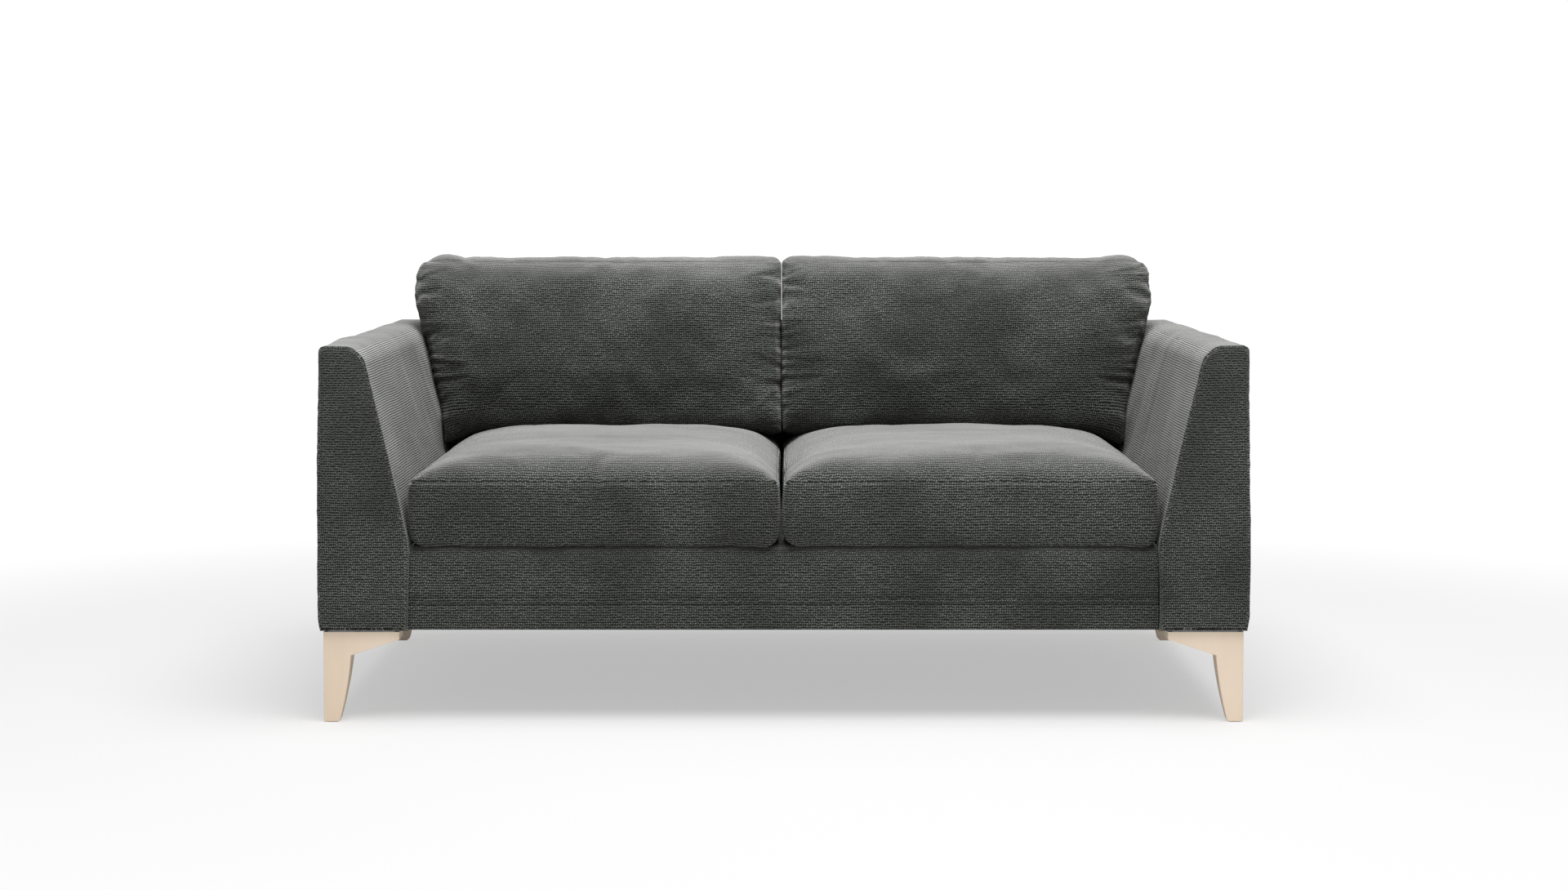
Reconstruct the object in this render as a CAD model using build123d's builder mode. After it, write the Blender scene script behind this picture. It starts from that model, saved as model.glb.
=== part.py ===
from build123d import *
import os
from math import atan2, cos, radians, sin, tan

# Two-seater sofa: a wooden frame with webbing, padded tapered arms, loose crowned cushions and
# four wooden bracket legs. Millimetres. +X is to the right as seen from the front, +Y goes to the
# back and +Z up. The origin is the middle of the footprint, on the floor.

# Overall sizes
overall_width = 1640.0
overall_depth = 880.0
arm_height = 664.0            # top of the arms and of the back frame
deck_height = 307.0           # surface that the seat cushions lie on
leg_height = 158.5            # floor to the top of a leg
overrun = 5.0                 # how far cutting shapes run past what they cut

# Arms
arm_width = 159.0             # at the deck
arm_taper = 79.9              # how much narrower an arm is at its top
arm_bend_rise = 11.0          # the inner face is upright up to this far above the deck
shoulder_radius = 31.0
outer_edge_radius = 10.0
bend_radius = 60.0
front_edge_radius = 4.0
arm_wrap = 10.0               # padding between an arm's boards and its cover

# Sheet and board thicknesses
cover = 3.0
board = 18.0
panel = 5.0
rail = 25.0
belt = 2.0
belt_gap = 0.3                # between belts where they cross
dust_sheet = 1.0
hem = 30.0                    # cover turned in under the frame

# Base between the arms
base_recess = 15.0            # base front behind the arm fronts
base_wrap = 10.0
base_edge_radius = 12.0
base_cover_flap = 90.0        # front cover's reach over the deck
deck_pad = 27.0
centre_rail_drop = 40.0       # centre rail below the webbing
corner_block_leg = 70.0
corner_block_height = 40.0
lower_rail_height = 80.0

# Webbing
belt_width = 70.0
belt_length_count = 8         # belts that run front to back
belt_cross_count = 4
back_belt_count = 6

# Back frame
back_thickness = 85.0         # at the deck
back_slope = radians(2.4)
back_front_radius = 25.0
back_post = 40.0
back_post_depth = 35.0
back_rail_height = 40.0
back_belt_lap = 20.0
back_rail_end_gap = 5.0

# Legs, from the outer top corner: inwards, then down
leg_inset = 10.0              # from the arm's outer face
leg_front_inset = 8.0         # front leg behind the arm front
leg_rear_inset = 80.0         # rear leg ahead of the back
leg_reach = 133.6             # length of the bracket along the arm
leg_tip = 13.6                # bracket height at its inner end
knee_across = 48.6
knee_drop = 41.5
foot_width = 27.0
foot_lean = 1.7               # outer edge's lean from top to foot
leg_depth = 38.0
foot_depth = 19.0
shin_bow = 2.7                # fullness of the inner edge of the foot
knee_radius = 6.0
leg_edge_ease = 1.2

# Leg fittings
plate = 2.5
plate_margin = 8.0
bolt_diameter = 8.0
bolt_clearance = 0.5
bolt_window = 12.0            # square cut in a cover or its padding round a bolt
bolt_in_leg = 12.0
bolt_shares = (0.24, 0.69)    # places along the bracket
nut_diameter = 13.0
glide_across = 18.0
glide_along = 12.0
glide_thickness = 2.5
glide_recess = 1.5

# Bolts that join the arms to the base
arm_bolt_pitch = 420.0
arm_bolt_count = 2
arm_nut_thickness = 6.0       # and the thickness of the bolt's head

# Seat cushions
soft_gap = 0.5                # running gap between a cushion and what it rests on
seat_recess = 14.5            # front seam behind the arm fronts
seat_border = 113.5
seat_crown = 55.0
seat_bulge = 6.5              # fullness of the border between its seams
seat_foot_round = 30.0
seat_corner = 40.0
seat_middle_gap = 8.0         # top seam from the centre line
seat_side_gap = 5.0           # top seam inside the arm's inner face at the deck
seat_shoulder = 50.0          # height above the seams at which the crown levels off
seat_shoulder_reach = 132.0   # how far in from the front and side seams that is
seat_rear_reach = 350.0       # and from the rear seam, where the back cushion presses
seat_lift = 5.0               # the arch from front to rear stands this much above the other one

# Back cushions
back_lean = radians(7.0)      # tilt of the cushion's foot
face_lean = radians(7.5)      # further tilt of its front face
back_seat_depth = 205.0       # front of the foot ahead of the back's face at the deck
back_foot_rise = 161.0        # front of the foot above the deck
back_height = 358.0           # measured along the lean
back_side_gap = 13.6          # between the foot and the arm beside it
back_splay = 0.041            # outer edge's spread per unit of height, beyond the arm's
back_middle_gap = 3.0
back_head_round = 56.0        # front edge of the head
back_head_rear_round = 40.0
back_foot_round = 18.0
back_corner = 52.0            # corners as seen from the front
back_side_round = 46.0
back_round_lead = 2.5         # the side rounding starts this far outside the faces that it joins
back_fullness = 34.0          # front face bowed out from foot to head

# Cushion filling, inside the cover and its wadding
wadding = 14.0
core_foot_inset = 44.0
core_crown_share = 0.55
core_crown_inset = 115.0
core_rear_inset = 162.0

# Zips
zip_length = 480.0
zip_tape_width = 28.0
zip_tape = 1.2
zip_chain_width = 5.0
zip_chain = 1.6
zip_pocket = 8.5
zip_pocket_margin = 1.0
slider_length = 12.0
slider_width = 9.0
slider_height = 4.4
slider_gap = 0.3
slider_ease = 1.5
zip_sink = 2.0                # seat zip's tape inside the rear seams
pull_length = 24.0
pull_width = 5.0
pull_thickness = 1.2

# Worked out from the sizes above
half_width = overall_width / 2
half_depth = overall_depth / 2
seat_half = half_width - arm_width
arm_bend_height = deck_height + arm_bend_rise
arm_slope = atan2(arm_taper, arm_height - arm_bend_height)
underside = leg_height + plate
frame_low = underside + cover
board_low = frame_low + board
board_inset = cover + arm_wrap
arm_board_top = arm_height - board_inset
top_board_low = arm_board_top - board
rail_top = deck_height - cover - deck_pad - 2 * (belt + belt_gap)
base_front = -half_depth + base_recess
front_rail_face = base_front + cover + base_wrap
rear_face = half_depth - cover
post_face = rear_face - back_post_depth
rail_span = post_face - rail - (front_rail_face + rail)
rail_middle = (post_face + front_rail_face) / 2
arm_bolt_height = (board_low + rail_top) / 2
hole_radius = (bolt_diameter + bolt_clearance) / 2
back_front = half_depth - back_thickness

os.makedirs("parts", exist_ok=True)


def save(piece, name):
    """Label a finished piece and write it to its own file."""
    piece.label = name
    export_step(piece, f"parts/{name}.step")


def save_pair(piece, name):
    """Write a right-hand piece, and its mirror image as the left-hand one."""
    save(piece, f"{name}_right")
    save(mirror(piece, about=Plane.YZ), f"{name}_left")


def board_between(x_limits, y_limits, z_limits, mode=Mode.ADD):
    """Add a square-edged board between its limits to the part being built."""
    limits = (x_limits, y_limits, z_limits)
    with Locations(tuple((low + high) / 2 for low, high in limits)):
        Box(*(high - low for low, high in limits), mode=mode)


def plane_at_depth(depth):
    """The upright plane across the sofa at a depth: local X is across, local Y is up."""
    return Plane.XZ.offset(-depth)


# Arms

def arm_inner_face(inset, height):
    """Distance from the centre line to an arm's inner face, drawn `inset` inside its cover."""
    bend = arm_bend_height - inset * tan(arm_slope / 2)
    return seat_half + inset + max(0.0, height - bend) * tan(arm_slope)


def arm_section(inset, low, high):
    """Corners of an arm's section between two heights, drawn `inset` inside its cover."""
    outer = half_width - inset
    bend = arm_bend_height - inset * tan(arm_slope / 2)
    corners = [(outer, low), (outer, high), (arm_inner_face(inset, high), high)]
    if low < bend < high:
        corners.append((arm_inner_face(inset, bend), bend))
    return corners + [(arm_inner_face(inset, low), low)]


def round_arm_section(inset):
    """Round the shoulder, the outer edge and the bend of the arm section in the current sketch."""
    fillet(vertices().group_by(Axis.Y)[-1].sort_by(Axis.X)[0], radius=shoulder_radius - inset)
    fillet(vertices().group_by(Axis.Y)[-1].sort_by(Axis.X)[-1], radius=outer_edge_radius - inset)
    fillet(vertices().sort_by(Axis.X)[:2].sort_by(Axis.Y)[-1], radius=bend_radius + inset)


def arm_bolt_places():
    """Depths of the bolts that join an arm to the base."""
    first = rail_middle - arm_bolt_pitch * (arm_bolt_count - 1) / 2
    return [first + arm_bolt_pitch * step for step in range(arm_bolt_count)]


def drill_arm_bolts(x_limits):
    """Cut the clearance holes for the arm bolts through the part being built."""
    for depth in arm_bolt_places():
        with Locations(Plane.YZ.offset(x_limits[0]).location * Location((depth, arm_bolt_height))):
            Cylinder(
                hole_radius, x_limits[1] - x_limits[0],
                align=(Align.CENTER, Align.CENTER, Align.MIN), mode=Mode.SUBTRACT)


def cut_bolt_windows(places):
    """Cut square windows round bolts through the cover or padding being built."""
    with Locations(*places):
        Box(2 * board_inset, bolt_window, bolt_window, mode=Mode.SUBTRACT)


def leg_bolt_places():
    """Places across and along the sofa of the bolts of the two right-hand legs."""
    return [
        (half_width - leg_inset - share * leg_reach, depth)
        for depth in (front_leg_middle, rear_leg_middle) for share in bolt_shares
    ]


front_leg_middle = -half_depth + leg_front_inset + leg_depth / 2
rear_leg_middle = half_depth - leg_rear_inset - leg_depth / 2

with BuildPart() as arm_cover:
    with BuildSketch(plane_at_depth(half_depth)):
        Polygon(*arm_section(0, underside, arm_height), align=None)
        round_arm_section(0)
    extrude(amount=overall_depth)
    fillet(faces().sort_by(Axis.Y)[0].edges(), radius=front_edge_radius)
    with BuildSketch(plane_at_depth(rear_face)):
        Polygon(*arm_section(cover, frame_low, arm_height - cover), align=None)
        round_arm_section(cover)
    extrude(amount=overall_depth - 2 * cover, mode=Mode.SUBTRACT)
    board_between(
        (seat_half + hem, half_width - hem), (-half_depth + hem, half_depth - hem),
        (underside - overrun, frame_low + overrun), mode=Mode.SUBTRACT)
    cut_bolt_windows((seat_half, depth, arm_bolt_height) for depth in arm_bolt_places())
    with Locations(*((across, depth, underside) for across, depth in leg_bolt_places())):
        Box(bolt_window, bolt_window, cover + overrun, mode=Mode.SUBTRACT)
save_pair(arm_cover.part, "arm_cover")

with BuildPart() as arm_padding:
    with BuildSketch(plane_at_depth(rear_face)):
        Polygon(*arm_section(cover, frame_low, arm_height - cover), align=None)
        round_arm_section(cover)
    extrude(amount=overall_depth - 2 * cover)
    with BuildSketch(plane_at_depth(rear_face + overrun)):
        Polygon(*arm_section(board_inset, frame_low - overrun, arm_board_top), align=None)
    extrude(amount=rear_face + overrun + half_depth - board_inset, mode=Mode.SUBTRACT)
    cut_bolt_windows((seat_half, depth, arm_bolt_height) for depth in arm_bolt_places())
save_pair(arm_padding.part, "arm_padding")

arm_front = -half_depth + board_inset
arm_inner = seat_half + board_inset
arm_outer = half_width - board_inset
inside_arm = (arm_front + board, rear_face - board)

with BuildPart() as arm_base_boards:
    board_between((arm_inner, arm_outer), (arm_front, rear_face), (frame_low, board_low))
    with Locations(*((across, depth, frame_low) for across, depth in leg_bolt_places())):
        Cylinder(bolt_diameter / 2, 2 * board, mode=Mode.SUBTRACT)
    mirror(about=Plane.YZ)
save(arm_base_boards.part, "arm_base_boards")

for name, rear in (("arm_front_boards", arm_front + board), ("arm_rear_boards", rear_face)):
    with BuildPart() as end_boards:
        with BuildSketch(plane_at_depth(rear)):
            Polygon(*arm_section(board_inset, board_low, arm_board_top), align=None)
        extrude(amount=board)
        mirror(about=Plane.YZ)
    save(end_boards.part, name)

with BuildPart() as arm_lower_rails:
    board_between(
        (arm_inner, arm_inner + rail), inside_arm, (board_low, board_low + lower_rail_height))
    drill_arm_bolts((arm_inner - overrun, arm_inner + rail + overrun))
    mirror(about=Plane.YZ)
save(arm_lower_rails.part, "arm_lower_rails")

with BuildPart() as arm_top_boards:
    with BuildSketch(plane_at_depth(inside_arm[1])):
        Polygon(*arm_section(board_inset, top_board_low, arm_board_top), align=None)
    extrude(amount=inside_arm[1] - inside_arm[0])
    mirror(about=Plane.YZ)
save(arm_top_boards.part, "arm_top_boards")

with BuildPart() as arm_outer_panels:
    board_between((arm_outer - panel, arm_outer), inside_arm, (board_low, top_board_low))
    mirror(about=Plane.YZ)
save(arm_outer_panels.part, "arm_outer_panels")

with BuildPart() as arm_inner_panels:
    with BuildSketch(plane_at_depth(inside_arm[1])):
        panel_low = board_low + lower_rail_height
        Polygon(*arm_section(board_inset, panel_low, top_board_low), align=None)
        Polygon(
            *arm_section(board_inset + panel, panel_low - overrun, top_board_low + overrun)[2:],
            (half_width, panel_low - overrun), (half_width, top_board_low + overrun),
            align=None, mode=Mode.SUBTRACT)
    extrude(amount=inside_arm[1] - inside_arm[0])
    mirror(about=Plane.YZ)
save(arm_inner_panels.part, "arm_inner_panels")

with BuildPart() as arm_middle_boards:
    with BuildSketch(plane_at_depth(rail_middle + board / 2)):
        Polygon(*arm_section(board_inset + panel, board_low, top_board_low), align=None)
        with Locations((arm_inner + rail, board_low + lower_rail_height)):
            Rectangle(
                2 * rail, 2 * lower_rail_height, align=(Align.MAX, Align.MAX), mode=Mode.SUBTRACT)
    extrude(amount=board)
    mirror(about=Plane.YZ)
save(arm_middle_boards.part, "arm_middle_boards")

# Base between the arms

with BuildPart() as front_rail:
    board_between(
        (-seat_half, seat_half), (front_rail_face, front_rail_face + rail), (frame_low, rail_top))
save(front_rail.part, "front_rail")

with BuildPart() as rear_rail:
    board_between((-seat_half, seat_half), (post_face - rail, post_face), (frame_low, rail_top))
save(rear_rail.part, "rear_rail")

between_rails = (front_rail_face + rail, post_face - rail)

with BuildPart() as side_rails:
    board_between((seat_half - rail, seat_half), between_rails, (frame_low, rail_top))
    drill_arm_bolts((seat_half - rail - overrun, seat_half + overrun))
    mirror(about=Plane.YZ)
save(side_rails.part, "side_rails")

with BuildPart() as centre_rail:
    board_between((-rail / 2, rail / 2), between_rails, (frame_low, rail_top - centre_rail_drop))
save(centre_rail.part, "centre_rail")

with BuildPart() as corner_blocks:
    with BuildSketch(Plane.XY.offset(frame_low)):
        for depth, turn in ((between_rails[0], 1), (between_rails[1], -1)):
            corner = (seat_half - rail, depth)
            Polygon(
                corner, (corner[0] - corner_block_leg, depth),
                (corner[0], depth + turn * corner_block_leg), align=None)
    extrude(amount=corner_block_height)
    mirror(about=Plane.YZ)
save(corner_blocks.part, "corner_blocks")


def woven_belt():
    """Corners of a cross belt's long side as it passes over and under the lengthwise belts."""
    level = belt + belt_gap
    lower = [(-seat_half, rail_top), (-seat_half + rail, rail_top)]
    for step in range(belt_length_count):
        middle = (step - (belt_length_count - 1) / 2) * length_belt_pitch
        side = level if step % 2 == 0 else -level
        for edge in (-1, 1):
            lower.append((middle + edge * (belt_width / 2 + belt), rail_top + side))
    lower += [(seat_half - rail, rail_top), (seat_half, rail_top)]
    return lower + [(across, height + belt) for across, height in reversed(lower)]


length_belt_pitch = 2 * (seat_half - rail) / belt_length_count
cross_belt_pitch = rail_span / (belt_cross_count + 1)

with BuildPart() as seat_webbing:
    with GridLocations(length_belt_pitch, 0, belt_length_count, 1):
        with Locations((0, rail_middle, rail_top)):
            Box(
                belt_width, post_face - front_rail_face, belt,
                align=(Align.CENTER, Align.CENTER, Align.MIN))
    for step in range(belt_cross_count):
        depth = rail_middle + (step - (belt_cross_count - 1) / 2) * cross_belt_pitch
        with BuildSketch(plane_at_depth(depth + belt_width / 2)):
            Polygon(*woven_belt(), align=None)
        extrude(amount=belt_width)
save(seat_webbing.part, "seat_webbing")

pad_low = deck_height - cover - deck_pad
front_seam = base_front + base_cover_flap

with BuildPart() as base_padding:
    board_between(
        (-seat_half, seat_half), (base_front + cover, front_rail_face),
        (frame_low, deck_height - cover))
    fillet(
        edges().filter_by(Axis.X).group_by(Axis.Y)[0].sort_by(Axis.Z)[-1],
        radius=base_edge_radius - cover)
save(base_padding.part, "base_padding")

with BuildPart() as deck_padding:
    board_between(
        (-seat_half, seat_half), (front_rail_face, back_front), (pad_low, deck_height - cover))
save(deck_padding.part, "deck_padding")

with BuildPart() as base_front_cover:
    board_between((-seat_half, seat_half), (base_front, front_seam), (underside, deck_height))
    fillet(
        edges().filter_by(Axis.X).group_by(Axis.Y)[0].sort_by(Axis.Z)[-1],
        radius=base_edge_radius)
    with BuildSketch(Plane.YZ):
        Polygon(
            (base_front + cover, frame_low), (base_front + cover, deck_height - cover),
            (front_seam + overrun, deck_height - cover), (front_seam + overrun, underside - overrun),
            (base_front + hem, underside - overrun), (base_front + hem, frame_low), align=None)
        fillet(
            vertices().group_by(Axis.X)[0].sort_by(Axis.Y)[-1], radius=base_edge_radius - cover)
    extrude(amount=seat_half + overrun, both=True, mode=Mode.SUBTRACT)
save(base_front_cover.part, "base_front_cover")

with BuildPart() as deck_cover:
    board_between(
        (-seat_half, seat_half), (front_seam, back_front), (deck_height - cover, deck_height))
save(deck_cover.part, "deck_cover")

with BuildPart() as dust_cover:
    board_between(
        (-seat_half, seat_half), (base_front + hem, rear_face),
        (frame_low - dust_sheet, frame_low))
save(dust_cover.part, "dust_cover")

# Bolts between the arms and the base, each with its nut

bolt_start = seat_half - rail
nut_face = arm_inner + rail

with BuildPart() as arm_bolts:
    with BuildSketch(Plane.YZ.offset(bolt_start)):
        with Locations(*((depth, arm_bolt_height) for depth in arm_bolt_places())):
            Circle(bolt_diameter / 2)
    extrude(amount=nut_face - bolt_start)
    for face, thickness in ((bolt_start, -arm_nut_thickness), (nut_face, arm_nut_thickness)):
        with BuildSketch(Plane.YZ.offset(face)):
            with Locations(*((depth, arm_bolt_height) for depth in arm_bolt_places())):
                RegularPolygon(nut_diameter / 2, 6, major_radius=False)
        extrude(amount=thickness)
    mirror(about=Plane.YZ)
save(arm_bolts.part, "arm_bolts")

# Back frame

def back_face(inset, height):
    """Depth of the back's front face at a height, drawn `inset` inside its cover."""
    bend = deck_height - inset * tan(back_slope / 2)
    return back_front + inset + max(0.0, height - bend) * tan(back_slope)


def back_shape(inset, low):
    """The padded back from a height up, drawn `inset` inside its cover."""
    high = arm_height - inset
    bend = arm_bend_height + inset * tan(arm_slope / 2)
    side = [(arm_inner_face(-inset, height), height) for height in (low, bend, high)]
    with BuildPart() as shape:
        with BuildSketch(Plane.YZ):
            Polygon(
                (back_front + inset, low), (back_front + inset, deck_height),
                (back_face(inset, high), high), (half_depth - inset, high),
                (half_depth - inset, low), align=None)
            fillet(
                vertices().group_by(Axis.Y)[-1].sort_by(Axis.X)[0],
                radius=back_front_radius - inset)
            fillet(
                vertices().group_by(Axis.Y)[-1].sort_by(Axis.X)[-1],
                radius=outer_edge_radius - inset)
        extrude(amount=half_width, both=True)
        with BuildSketch(Plane.XZ):
            Polygon(
                *side, *((-across, height) for across, height in reversed(side)), align=None)
        extrude(amount=overall_depth, both=True, mode=Mode.INTERSECT)
    return shape.part


with BuildPart() as back_inner_cover:
    add(back_shape(0, pad_low))
    add(back_shape(cover, pad_low - overrun), mode=Mode.SUBTRACT)
    split(bisect_by=plane_at_depth(rear_face), keep=Keep.TOP)
save(back_inner_cover.part, "back_inner_cover")

with BuildPart() as back_outer_cover:
    add(back_shape(0, underside))
    split(bisect_by=plane_at_depth(rear_face), keep=Keep.BOTTOM)
save(back_outer_cover.part, "back_outer_cover")

belt_face = post_face - belt
top_rail_low = arm_board_top - back_rail_height
lower_rail_top = rail_top + back_rail_height

with BuildPart() as back_padding:
    add(back_shape(cover, pad_low))
    board_between(
        (-half_width, half_width), (belt_face, half_depth + overrun),
        (pad_low - overrun, arm_board_top), mode=Mode.SUBTRACT)
save(back_padding.part, "back_padding")

top_rail_half = arm_inner_face(-cover, top_rail_low) - back_rail_end_gap
lower_rail_half = seat_half - cover

with BuildPart() as back_top_rail:
    board_between(
        (-top_rail_half, top_rail_half), (post_face, rear_face), (top_rail_low, arm_board_top))
save(back_top_rail.part, "back_top_rail")

with BuildPart() as back_lower_rail:
    board_between(
        (-lower_rail_half, lower_rail_half), (post_face, rear_face), (frame_low, lower_rail_top))
save(back_lower_rail.part, "back_lower_rail")

with BuildPart() as back_posts:
    post_place = lower_rail_half - back_post / 2
    with Locations(*((across, post_face, lower_rail_top) for across in (-post_place, 0, post_place))):
        Box(
            back_post, back_post_depth, top_rail_low - lower_rail_top,
            align=(Align.CENTER, Align.MIN, Align.MIN))
save(back_posts.part, "back_posts")

with BuildPart() as back_webbing:
    with GridLocations(2 * lower_rail_half / back_belt_count, 0, back_belt_count, 1):
        with Locations((0, belt_face, lower_rail_top - back_belt_lap)):
            Box(
                belt_width, belt, top_rail_low - lower_rail_top + 2 * back_belt_lap,
                align=(Align.CENTER, Align.MIN, Align.MIN))
save(back_webbing.part, "back_webbing")

# Legs

leg_outer = half_width - leg_inset
leg_foot = glide_thickness - glide_recess


def make_leg(outer_depth, taper):
    """A right-hand bracket leg. Its outer face is upright at a depth, and it tapers from there."""
    knee = leg_height - knee_drop
    foot_inner = leg_outer - foot_lean - foot_width
    shin_middle = (
        (leg_outer - knee_across + foot_inner) / 2 - shin_bow, (knee + leg_foot) / 2)
    with BuildPart() as leg:
        with BuildSketch(plane_at_depth(0)):
            with BuildLine():
                Polyline(
                    (foot_inner, leg_foot), (leg_outer - foot_lean, leg_foot),
                    (leg_outer, leg_height), (leg_outer - leg_reach, leg_height),
                    (leg_outer - leg_reach, leg_height - leg_tip), (leg_outer - knee_across, knee))
                ThreePointArc(
                    (leg_outer - knee_across, knee), shin_middle, (foot_inner, leg_foot))
            make_face()
        extrude(amount=overall_depth, both=True)
        with BuildSketch(Plane.YZ):
            Polygon(
                (outer_depth, leg_foot), (outer_depth, leg_height),
                (outer_depth + taper * leg_depth, leg_height),
                (outer_depth + taper * leg_depth, leg_height - knee_drop),
                (outer_depth + taper * foot_depth, leg_foot), align=None)
        extrude(amount=half_width, mode=Mode.INTERSECT)
        fillet(edges().filter_by(Axis.Y).sort_by(Axis.X)[2:4].sort_by(Axis.Z)[0], radius=knee_radius)
        chamfer(
            faces().sort_by(Axis.Y)[0 if taper > 0 else -1].edges().filter_by(
                lambda edge: edge.center().Z < leg_height - leg_edge_ease),
            length=leg_edge_ease)
        middle = outer_depth + taper * leg_depth / 2
        with Locations(*(
            (leg_outer - share * leg_reach, middle, leg_height) for share in bolt_shares)):
            Cylinder(
                bolt_diameter / 2, bolt_in_leg,
                align=(Align.CENTER, Align.CENTER, Align.MAX), mode=Mode.SUBTRACT)
        with Locations((*glide_place(outer_depth, taper), leg_foot)):
            Box(
                glide_across, glide_along, glide_recess,
                align=(Align.CENTER, Align.CENTER, Align.MIN), mode=Mode.SUBTRACT)
    return leg.part


def glide_place(outer_depth, taper):
    """Where a leg's glide sits, across and along the sofa."""
    return leg_outer - foot_lean - foot_width / 2, outer_depth + taper * foot_depth / 2


front_leg = (-half_depth + leg_front_inset, 1)
rear_leg = (half_depth - leg_rear_inset, -1)
save_pair(make_leg(*front_leg), "leg_front")
save_pair(make_leg(*rear_leg), "leg_rear")

with BuildPart() as leg_plates:
    with Locations(*(
        (leg_outer - leg_reach / 2, depth, leg_height)
        for depth in (front_leg_middle, rear_leg_middle))):
        Box(
            leg_reach - 2 * plate_margin, leg_depth - plate_margin, plate,
            align=(Align.CENTER, Align.CENTER, Align.MIN))
    with Locations(*((across, depth, leg_height) for across, depth in leg_bolt_places())):
        Cylinder(hole_radius, 2 * plate + overrun, mode=Mode.SUBTRACT)
    mirror(about=Plane.YZ)
save(leg_plates.part, "leg_plates")

with BuildPart() as leg_bolts:
    with Locations(*(
        (across, depth, leg_height - bolt_in_leg) for across, depth in leg_bolt_places())):
        Cylinder(
            bolt_diameter / 2, board_low - leg_height + bolt_in_leg,
            align=(Align.CENTER, Align.CENTER, Align.MIN))
    mirror(about=Plane.YZ)
save(leg_bolts.part, "leg_bolts")

with BuildPart() as glides:
    with Locations(*((*glide_place(*leg), 0) for leg in (front_leg, rear_leg))):
        Box(
            glide_across, glide_along, glide_thickness,
            align=(Align.CENTER, Align.CENTER, Align.MIN))
    mirror(about=Plane.YZ)
save(glides.part, "glides")

# Cushions

def make_zip(plane, width_along):
    """Pocket, tape with its chain, and slider of a closed zip. The plane's Z points out of the cover."""
    with BuildPart(plane) as pocket:
        Box(
            zip_length + 2 * zip_pocket_margin, width_along + 2 * zip_pocket_margin, 4 * zip_pocket,
            align=(Align.CENTER, Align.CENTER, Align.MIN))
    with BuildPart(plane) as tape:
        Box(zip_length, width_along, zip_tape, align=(Align.CENTER, Align.CENTER, Align.MIN))
        Box(
            zip_length, zip_chain_width, zip_tape + zip_chain,
            align=(Align.CENTER, Align.CENTER, Align.MIN))
    with BuildPart(plane) as slider:
        with Locations((slider_length / 2 - zip_length / 2, 0, zip_tape + slider_gap)):
            Box(
                slider_length, slider_width, slider_height,
                align=(Align.CENTER, Align.CENTER, Align.MIN))
        chamfer(edges().filter_by(Axis(plane.origin, plane.z_dir)), length=slider_ease)
        with Locations((slider_length / 2 - zip_length / 2, 0, zip_tape + slider_gap)):
            Box(
                2 * slider_length, zip_chain_width + 2 * slider_gap, zip_chain + slider_gap,
                align=(Align.CENTER, Align.CENTER, Align.MIN), mode=Mode.SUBTRACT)
        with Locations((slider_length - zip_length / 2, 0, zip_tape + slider_gap + slider_height)):
            Box(
                pull_length, pull_width, pull_thickness,
                align=(Align.MIN, Align.CENTER, Align.MAX))
    return pocket.part, tape.part, slider.part


# Seat cushions: boxed border, crowned top that falls away under the back cushion

seat_low = deck_height + soft_gap
seat_front = half_depth - seat_recess
seat_rear = back_face(0, deck_height) - soft_gap - seat_bulge
seat_outer = seat_half - seat_side_gap


across_view = Plane(origin=(0, 0, seat_low), x_dir=(1, 0, 0), z_dir=(0, -1, 0))
along_view = Plane(origin=(0, 0, seat_low), x_dir=(0, 1, 0), z_dir=(1, 0, 0))


def seat_outline(first, last, first_reach, last_reach, lift):
    """Draw a seat cushion's section between two seams: bulging border, crown arched from seam to seam."""
    middle = (first + first_reach + last - last_reach) / 2
    shoulder = seat_border + seat_shoulder + lift
    Line((first, 0), (last, 0))
    for seam, reach, outwards in ((first, first_reach, -1), (last, last_reach, 1)):
        ThreePointArc(
            (seam, 0), (seam + outwards * seat_bulge, seat_border / 2), (seam, seat_border))
        TangentArc(
            (seam - outwards * reach, shoulder), (seam, seat_border), tangent=(outwards, 0))
    ThreePointArc(
        (first + first_reach, shoulder), (middle, seat_border + seat_crown + lift),
        (last - last_reach, shoulder))


with BuildPart() as seat_cushion:
    for view, seams, last_reach, lift, mode in (
            (across_view, (seat_middle_gap, seat_outer), seat_shoulder_reach, 0, Mode.ADD),
            (along_view, (-seat_front, seat_rear), seat_rear_reach, seat_lift, Mode.INTERSECT)):
        with BuildSketch(view.offset(-half_width)):
            with BuildLine():
                seat_outline(*seams, seat_shoulder_reach, last_reach, lift)
            make_face()
            fillet(vertices().group_by(Axis.Y)[0], radius=seat_foot_round)
        extrude(amount=overall_width, mode=mode)
    with BuildSketch(Plane.XY.offset(seat_low)):
        with Locations(((seat_middle_gap + seat_outer) / 2, (seat_rear - seat_front) / 2)):
            RectangleRounded(
                seat_outer - seat_middle_gap + 2 * seat_bulge,
                seat_rear + seat_front + 2 * seat_bulge, seat_corner)
    extrude(amount=seat_border + seat_crown + overrun, mode=Mode.INTERSECT)


def seat_core_section(first, last, first_inset, last_inset):
    """Corners of a seat core's section between two seams, with the insets of its crown."""
    top = seat_border + core_crown_share * seat_crown
    return (
        (first + core_foot_inset, wadding), (last - core_foot_inset, wadding),
        (last - wadding, seat_border - wadding), (last - last_inset, top),
        (first + first_inset, top), (first + wadding, seat_border - wadding))


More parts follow.
